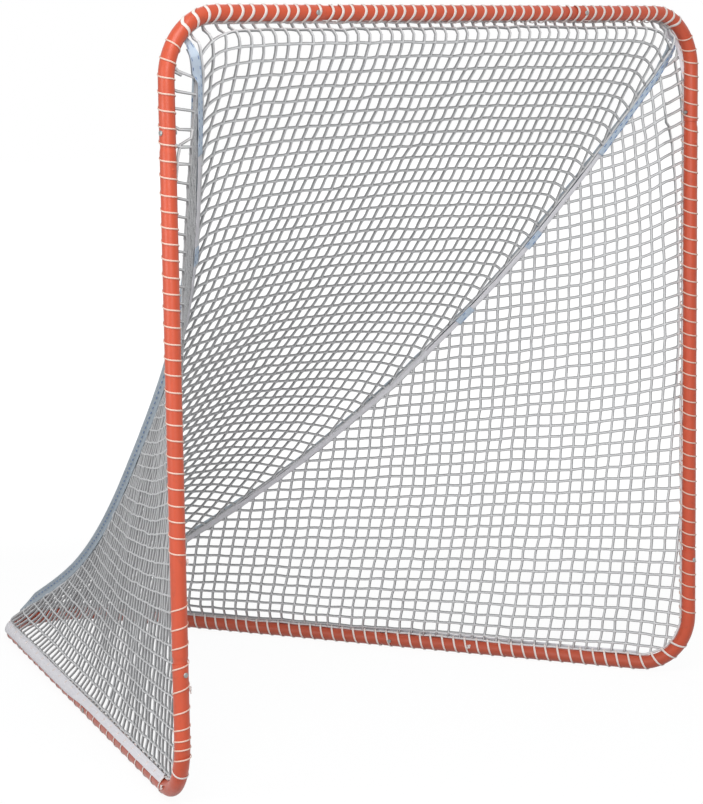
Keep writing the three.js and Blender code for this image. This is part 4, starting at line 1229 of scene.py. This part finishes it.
def leaning(slant):
    """Advance of a lace along its tube within one turn: this share of it falls on the turn's open front."""
    swing = (0.5 - slant) * math.pi
    return lambda share: share + swing * math.sin(2 * math.pi * share) / (2 * math.pi)


def along_top(share):
    """Advance of the top bar's lace: it slants across the bar's lower front and runs on along its top."""
    under, over = (eased(clamped(part)) for part in ((share - 0.15) / 0.25, (share - 0.54) / 0.17))
    return 0.2 * share + 0.22 * under + 0.58 * over


def wound_stations(line, net_way, hand, passes, advance, goes_round=lambda turn: True):
    """Points of a lace wound round a tube and over the net's edge cord, with the way out at each.

    Passes are where it crosses the net. A turn that doesn't go round the tube takes in the net's cord alone."""
    lie = sizes().tube / 2 + sizes().lace_thickness / 2 + 0.2 * MM
    round_cord = (sizes().edge_twine + sizes().lace_thickness) / 2
    over_net = BORDER + round_cord
    found = []
    for turn, (before, after) in enumerate(zip(passes, passes[1:])):
        for share in (step / TURN_STEPS for step in range(TURN_STEPS)):
            angle = 2 * math.pi * share
            distance = before + (after - before) * advance(share)
            point, axis = line(distance)
            towards = net_way(distance)
            towards = (towards - axis * towards.dot(axis)).normalized()
            out = towards * math.cos(angle) + axis.cross(towards) * hand * math.sin(angle)
            if goes_round(turn):
                radius = lie + (over_net - lie) * max(0.0, math.cos(angle)) ** 6
                found.append((point + out * radius, out))
            else:
                found.append((point + towards * BORDER + out * round_cord, out))
    return found


def passes_from(start, end, pitch, rng, uneven):
    """Distances at which a lace crosses the net, each moved by up to a share of the pitch."""
    count = int((end - start) / pitch)
    return [start + pitch * (i + rng.uniform(-uneven, uneven)) for i in range(count + 1)]


def lace_piece(name, found, width, weave, node):
    """A flat lace along stations of (point, way out)."""
    count = len(found) - 1
    half_width, half_thickness = width / 2, sizes().lace_thickness / 2
    length = sum((a[0] - b[0]).length for a, b in zip(found, found[1:]))

    def place(along, across):
        index = round(along * count)
        point, out = found[index]
        tangent = (found[min(index + 1, count)][0] - found[max(index - 1, 0)][0]).normalized()
        flat = tangent.cross(out).normalized()
        out = flat.cross(tangent)
        turn = 2 * math.pi * across
        return point + flat * half_width * math.cos(turn) + out * half_thickness * math.sin(turn)
    mesh = cloth_grid(name, count, 8, (length, 2 * width), place, 0, round_section=True)
    add_piece(name, mesh, weave, [node])


def knot_run(centre, out, hang, size):
    """An overhand knot with its two tails, as one run of points: a trefoil opened at one place.

    Out faces away from the tube, and hang is the way the tails fall."""
    side = out.cross(hang).normalized()
    points, steps, opening = [], 24, 0.4
    for step in range(steps + 1):
        turn = opening + (2 * math.pi - 2 * opening) * step / steps
        x = math.sin(turn) + 2 * math.sin(2 * turn)
        y = math.cos(turn) - 2 * math.cos(2 * turn)
        points.append(centre + (side * x + hang * y) * size / 3 - out * math.sin(3 * turn) * size / 4)
    first = [points[0] + (hang * 2.6 - side * 0.8 + out * 0.5) * size * share for share in (1.0, 0.66, 0.33)]
    last = [points[-1] + (hang * 1.7 + side * 1.1 - out * 0.3) * size * share for share in (0.33, 0.66, 1.0)]
    return [*first, *points, *last]


def post_net_way(side):
    """Direction from the mouth's tubes to the net's edge: back along the rail, turning down under the bar."""
    back = rail_direction(side)
    return lambda distance: back.lerp(BAR_NET_WAY, clamped((distance - POST_STRAIGHT) / TOP_ARC))


def rail_net_way(side):
    """Direction from the ground tubes to the net's edge: up, turning back along the rail round the elbow."""
    back = rail_direction(side)
    return lambda distance: UP.lerp(back, clamped((BOTTOM_BEND - distance) / BOTTOM_ARC))


class GOAL_OT_lacing(bpy.types.Operator):
    """Wind the laces that tie the net to the top bar, the posts and the rails"""

    bl_idname = "goal.lacing"
    bl_label = "Lacing"

    def execute(self, context):
        rng = random.Random(11)
        corner = POST_STRAIGHT + TOP_ARC / 2
        whole = TOP_MIDDLE * 2
        pitch, narrow = sizes().lace_pitch, sizes().post_lace
        flat = finish("flat_braided_lace", lace_weave)
        stained = finish("narrow_braided_lace", narrow_lace_weave)

        def mouth_line(distance):
            if distance <= TOP_MIDDLE:
                return front_line(-1, distance)
            point, direction = front_line(1, whole - distance)
            return point, -direction

        def mouth_way(distance):
            if distance <= TOP_MIDDLE:
                return post_net_way(-1)(distance)
            return post_net_way(1)(whole - distance)

        passes = passes_from(corner, whole - corner, sizes().bar_pitch, rng, uneven=0.17)
        found = wound_stations(mouth_line, mouth_way, -1, passes, along_top)
        lace_piece("top_bar_lace", found, sizes().lace_width, flat, "top_lacing")
        for name, node, side, foot in (("right_post_lace", "post_lacing_right", 1, RIGHT_LACE_FOOT),
                                       ("left_post_lace_upper", "post_lacing_left_upper", -1, LEFT_KNOT)):
            post = lambda distance, side=side: front_line(side, distance)
            passes = passes_from(front_distance(foot), corner, pitch, rng, uneven=0.08)
            found = wound_stations(post, post_net_way(side), -1, passes, leaning(LACE_SLANT))
            lace_piece(name, found, narrow, stained, node)
        heights = [front_distance(height) for height in LEFT_WRAPS]
        passes = [1.5 * heights[0] - 0.5 * heights[1], *((a + b) / 2 for a, b in zip(heights, heights[1:])),
                  1.5 * heights[-1] - 0.5 * heights[-2]]
        left = lambda distance: front_line(-1, distance)
        found = wound_stations(left, post_net_way(-1), 1, passes, leaning(LOWER_SLANT))
        lace_piece("left_post_lace_lower", found, narrow, stained, "post_lacing_left_lower")
        for label, side in SIDES.items():
            ground = lambda distance, side=side: ground_line(side, distance)
            passes = ELBOW_PASSES + passes_from(FIRST_RAIL_PASS, REAR_MIDDLE - 8 * MM, RAIL_PITCH, rng,
                                                uneven=0.05)
            # On the right rail every turn goes round the tube, on the left one every second turn does
            goes_round = lambda turn, side=side: side > 0 or (turn % 2 == 0 and turn != BARE_ELBOW_TURN)
            found = wound_stations(ground, rail_net_way(side), side, passes, leaning(LACE_SLANT), goes_round)
            lace_piece(f"rail_lace_{label}", found, sizes().rail_lace, flat, f"rail_lacing_{label}")
        self.knots()
        return {"FINISHED"}

    def knots(self):
        """The knots and tails at the ends of the laces."""
        away = sizes().tube / 2 + 3 * MM
        open_side = Vector((0.74, -0.67, 0))
        runs = []
        for side, height, facing_sign, size in POST_KNOTS:
            out = open_side * facing_sign
            runs.append(knot_run(Vector((side * HALF_WIDTH, MOUTH_Y, height)) + out * away, out, -UP, size))
        for side, distance, facing_sign, size in RAIL_KNOTS:
            point, direction = ground_line(side, distance)
            out = (rail_inward(side) * facing_sign + UP * 0.3).normalized()
            hang = (direction * 0.6 - UP * 0.5).normalized()
            runs.append(knot_run(point + out * away, out, hang, size))
        curve = strand_curve("lace_knots", KNOT_CORD, [(run, [1] * len(run), False) for run in runs])
        add_piece("lace_knots", curve, finish("flat_braided_lace", lace_weave))


# Stage

# Lamps: name, place, the point that it faces, size in metres and power in watts
LAMPS = (("key_light", (-2.4, -3.4, 5.2), (0, 0, 0.8), 3.0, 160),
         ("fill_light", (-4.2, -5.8, 2.4), (0, 0, 0.8), 3.2, 122),
         ("back_light", (3.4, 4.6, 4.6), (0, 0, 0.7), 3.2, 60),
         ("side_light", (-5.0, -0.4, 1.5), (-0.4, 0.2, 0.3), 2.4, 66))
# The camera that was fitted to the photo: place, then yaw, pitch down and roll in degrees
CAMERA_PLACE = (-4.4168, -4.4254 + MOUTH_Y, 1.75)
CAMERA_ANGLES = (42.484, 7.935, -0.824)
FOCAL_LENGTH = 111.25       # in millimetres, on a sensor of full-frame width
SENSOR_WIDTH = 36
FLOOR_HALF = 30             # half the floor's side in metres
PAPER_GLOW = 1.08           # how bright the floor looks to the camera
WORLD_LIGHT = 0.28          # how strongly the white surroundings light the goal


def seen_by(tree, *rays):
    """One for any of these kinds of ray, and nought for the others."""
    path = add_node(tree, "ShaderNodeLightPath")
    seen = path.outputs[rays[0]]
    for ray in rays[1:]:
        seen = add_node(tree, "ShaderNodeMath", {0: seen, 1: path.outputs[ray]}, operation="ADD",
                        use_clamp=True).outputs["Value"]
    return seen


class GOAL_OT_stage(bpy.types.Operator):
    """Set up the pale floor, the white surroundings, the soft lights and the camera"""

    bl_idname = "goal.stage"
    bl_label = "Stage"

    def execute(self, context):
        scene = context.scene
        scene.view_settings.view_transform = "Standard"
        bm = bmesh.new()
        bmesh.ops.create_grid(bm, x_segments=1, y_segments=1, size=FLOOR_HALF)
        floor = bpy.data.objects.new("studio_floor", mesh_of("studio_floor", bm))
        scene.collection.objects.link(floor)
        floor.data.materials.append(self.floor_material())
        self.white_world(scene)
        for lamp in LAMPS:
            self.add_lamp(*lamp)
        self.add_camera(scene)
        return {"FINISHED"}

    def floor_material(self):
        # Matt pale studio paper: it keeps a faint shadow, and the camera sees it as white
        material, tree, shader = new_material("matt_studio_paper", Roughness=0.95)
        place = add_node(tree, "ShaderNodeTexCoord").outputs["Object"]
        grain = add_node(tree, "ShaderNodeTexNoise", {"Vector": place, "Scale": per_metre(8)})
        tint = add_node(tree, "ShaderNodeMix", {"Factor": grain.outputs["Fac"], "A": rgba(linear("#BFC0C2")),
                                                "B": rgba(linear("#C8C9CB"))}, data_type="RGBA")
        set_inputs(tree, shader, {"Base Color": tint.outputs[2]})
        away = add_node(tree, "ShaderNodeVectorMath", {0: place}, operation="LENGTH")
        fades = add_node(tree, "ShaderNodeMapRange", {"Value": away.outputs["Value"], "From Min": 1.9,
                                                      "From Max": 4.2, "To Min": 0.87, "To Max": 1.0})
        share = add_node(tree, "ShaderNodeMath", {0: seen_by(tree, "Is Camera Ray", "Is Glossy Ray"),
                                                  1: fades.outputs["Result"]}, operation="MULTIPLY")
        glow = add_node(tree, "ShaderNodeEmission", {"Color": (1, 1, 1, 1), "Strength": PAPER_GLOW})
        both = add_node(tree, "ShaderNodeMixShader", {0: share.outputs["Value"], 1: shader.outputs["BSDF"],
                                                      2: glow.outputs["Emission"]})
        set_inputs(tree, tree.nodes["Material Output"], {"Surface": both.outputs["Shader"]})
        return material

    def white_world(self, scene):
        world = bpy.data.worlds.new("white_surroundings")
        scene.world = world
        world.use_nodes = True
        tree = world.node_tree
        seen = seen_by(tree, "Is Camera Ray", "Is Glossy Ray", "Is Transmission Ray")
        strength = add_node(tree, "ShaderNodeMapRange", {"Value": seen, "To Min": WORLD_LIGHT, "To Max": 1.0})
        set_inputs(tree, tree.nodes["Background"], {"Color": (1, 1, 1, 1),
                                                    "Strength": strength.outputs["Result"]})

    def add_lamp(self, name, place, target, size, power):
        light = bpy.data.lights.new(name, "AREA")
        light.size = size
        light.energy = power
        lamp = bpy.data.objects.new(name, light)
        bpy.context.scene.collection.objects.link(lamp)
        lamp.location = place
        lamp.rotation_euler = (Vector(place) - Vector(target)).to_track_quat("Z", "Y").to_euler()

    def add_camera(self, scene):
        data = bpy.data.cameras.new("camera")
        camera = bpy.data.objects.new("camera", data)
        scene.collection.objects.link(camera)
        data.sensor_width = SENSOR_WIDTH
        data.lens = FOCAL_LENGTH
        camera.location = CAMERA_PLACE
        yaw, pitch, roll = (math.radians(angle) for angle in CAMERA_ANGLES)
        ahead = Vector((math.sin(yaw) * math.cos(pitch), math.cos(yaw) * math.cos(pitch), -math.sin(pitch)))
        right = ahead.cross(UP).normalized()
        above = right.cross(ahead)
        right_rolled = right * math.cos(roll) + above * math.sin(roll)
        above = right_rolled.cross(ahead)
        camera.rotation_euler = Matrix((right_rolled, above, -ahead)).transposed().to_euler()
        data.clip_start, data.clip_end = 0.1, 100
        scene.camera = camera


class GOAL_PT_panel(bpy.types.Panel):
    """The goal's steps, sizes and colours, in the 3D view's sidebar"""

    bl_idname = "GOAL_PT_panel"
    bl_label = "Lacrosse goal"
    bl_space_type = "VIEW_3D"
    bl_region_type = "UI"
    bl_category = "Goal"

    def draw(self, context):
        for operator in OPERATORS:
            self.layout.operator(operator.bl_idname)
        for group in (context.scene.goal_sizes, context.scene.goal_colours):
            box = self.layout.box()
            for name in group.__annotations__:
                box.prop(group, name)


OPERATORS = (GOAL_OT_tubes, GOAL_OT_fasteners, GOAL_OT_side_nets, GOAL_OT_roof_net, GOAL_OT_seam_tapes,
             GOAL_OT_hem_tapes, GOAL_OT_lacing, GOAL_OT_stage)
CLASSES = (GoalSizes, GoalColours, *OPERATORS, GOAL_PT_panel)


def register():
    for item in CLASSES:
        bpy.utils.register_class(item)
    bpy.types.Scene.goal_sizes = PointerProperty(type=GoalSizes)
    bpy.types.Scene.goal_colours = PointerProperty(type=GoalColours)


def unregister():
    del bpy.types.Scene.goal_sizes
    del bpy.types.Scene.goal_colours
    for item in reversed(CLASSES):
        bpy.utils.unregister_class(item)


def main():
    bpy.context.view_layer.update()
    register()
    for operator in OPERATORS:
        group, name = operator.bl_idname.split(".")
        getattr(getattr(bpy.ops, group), name)()


if __name__ == "__main__":
    main()
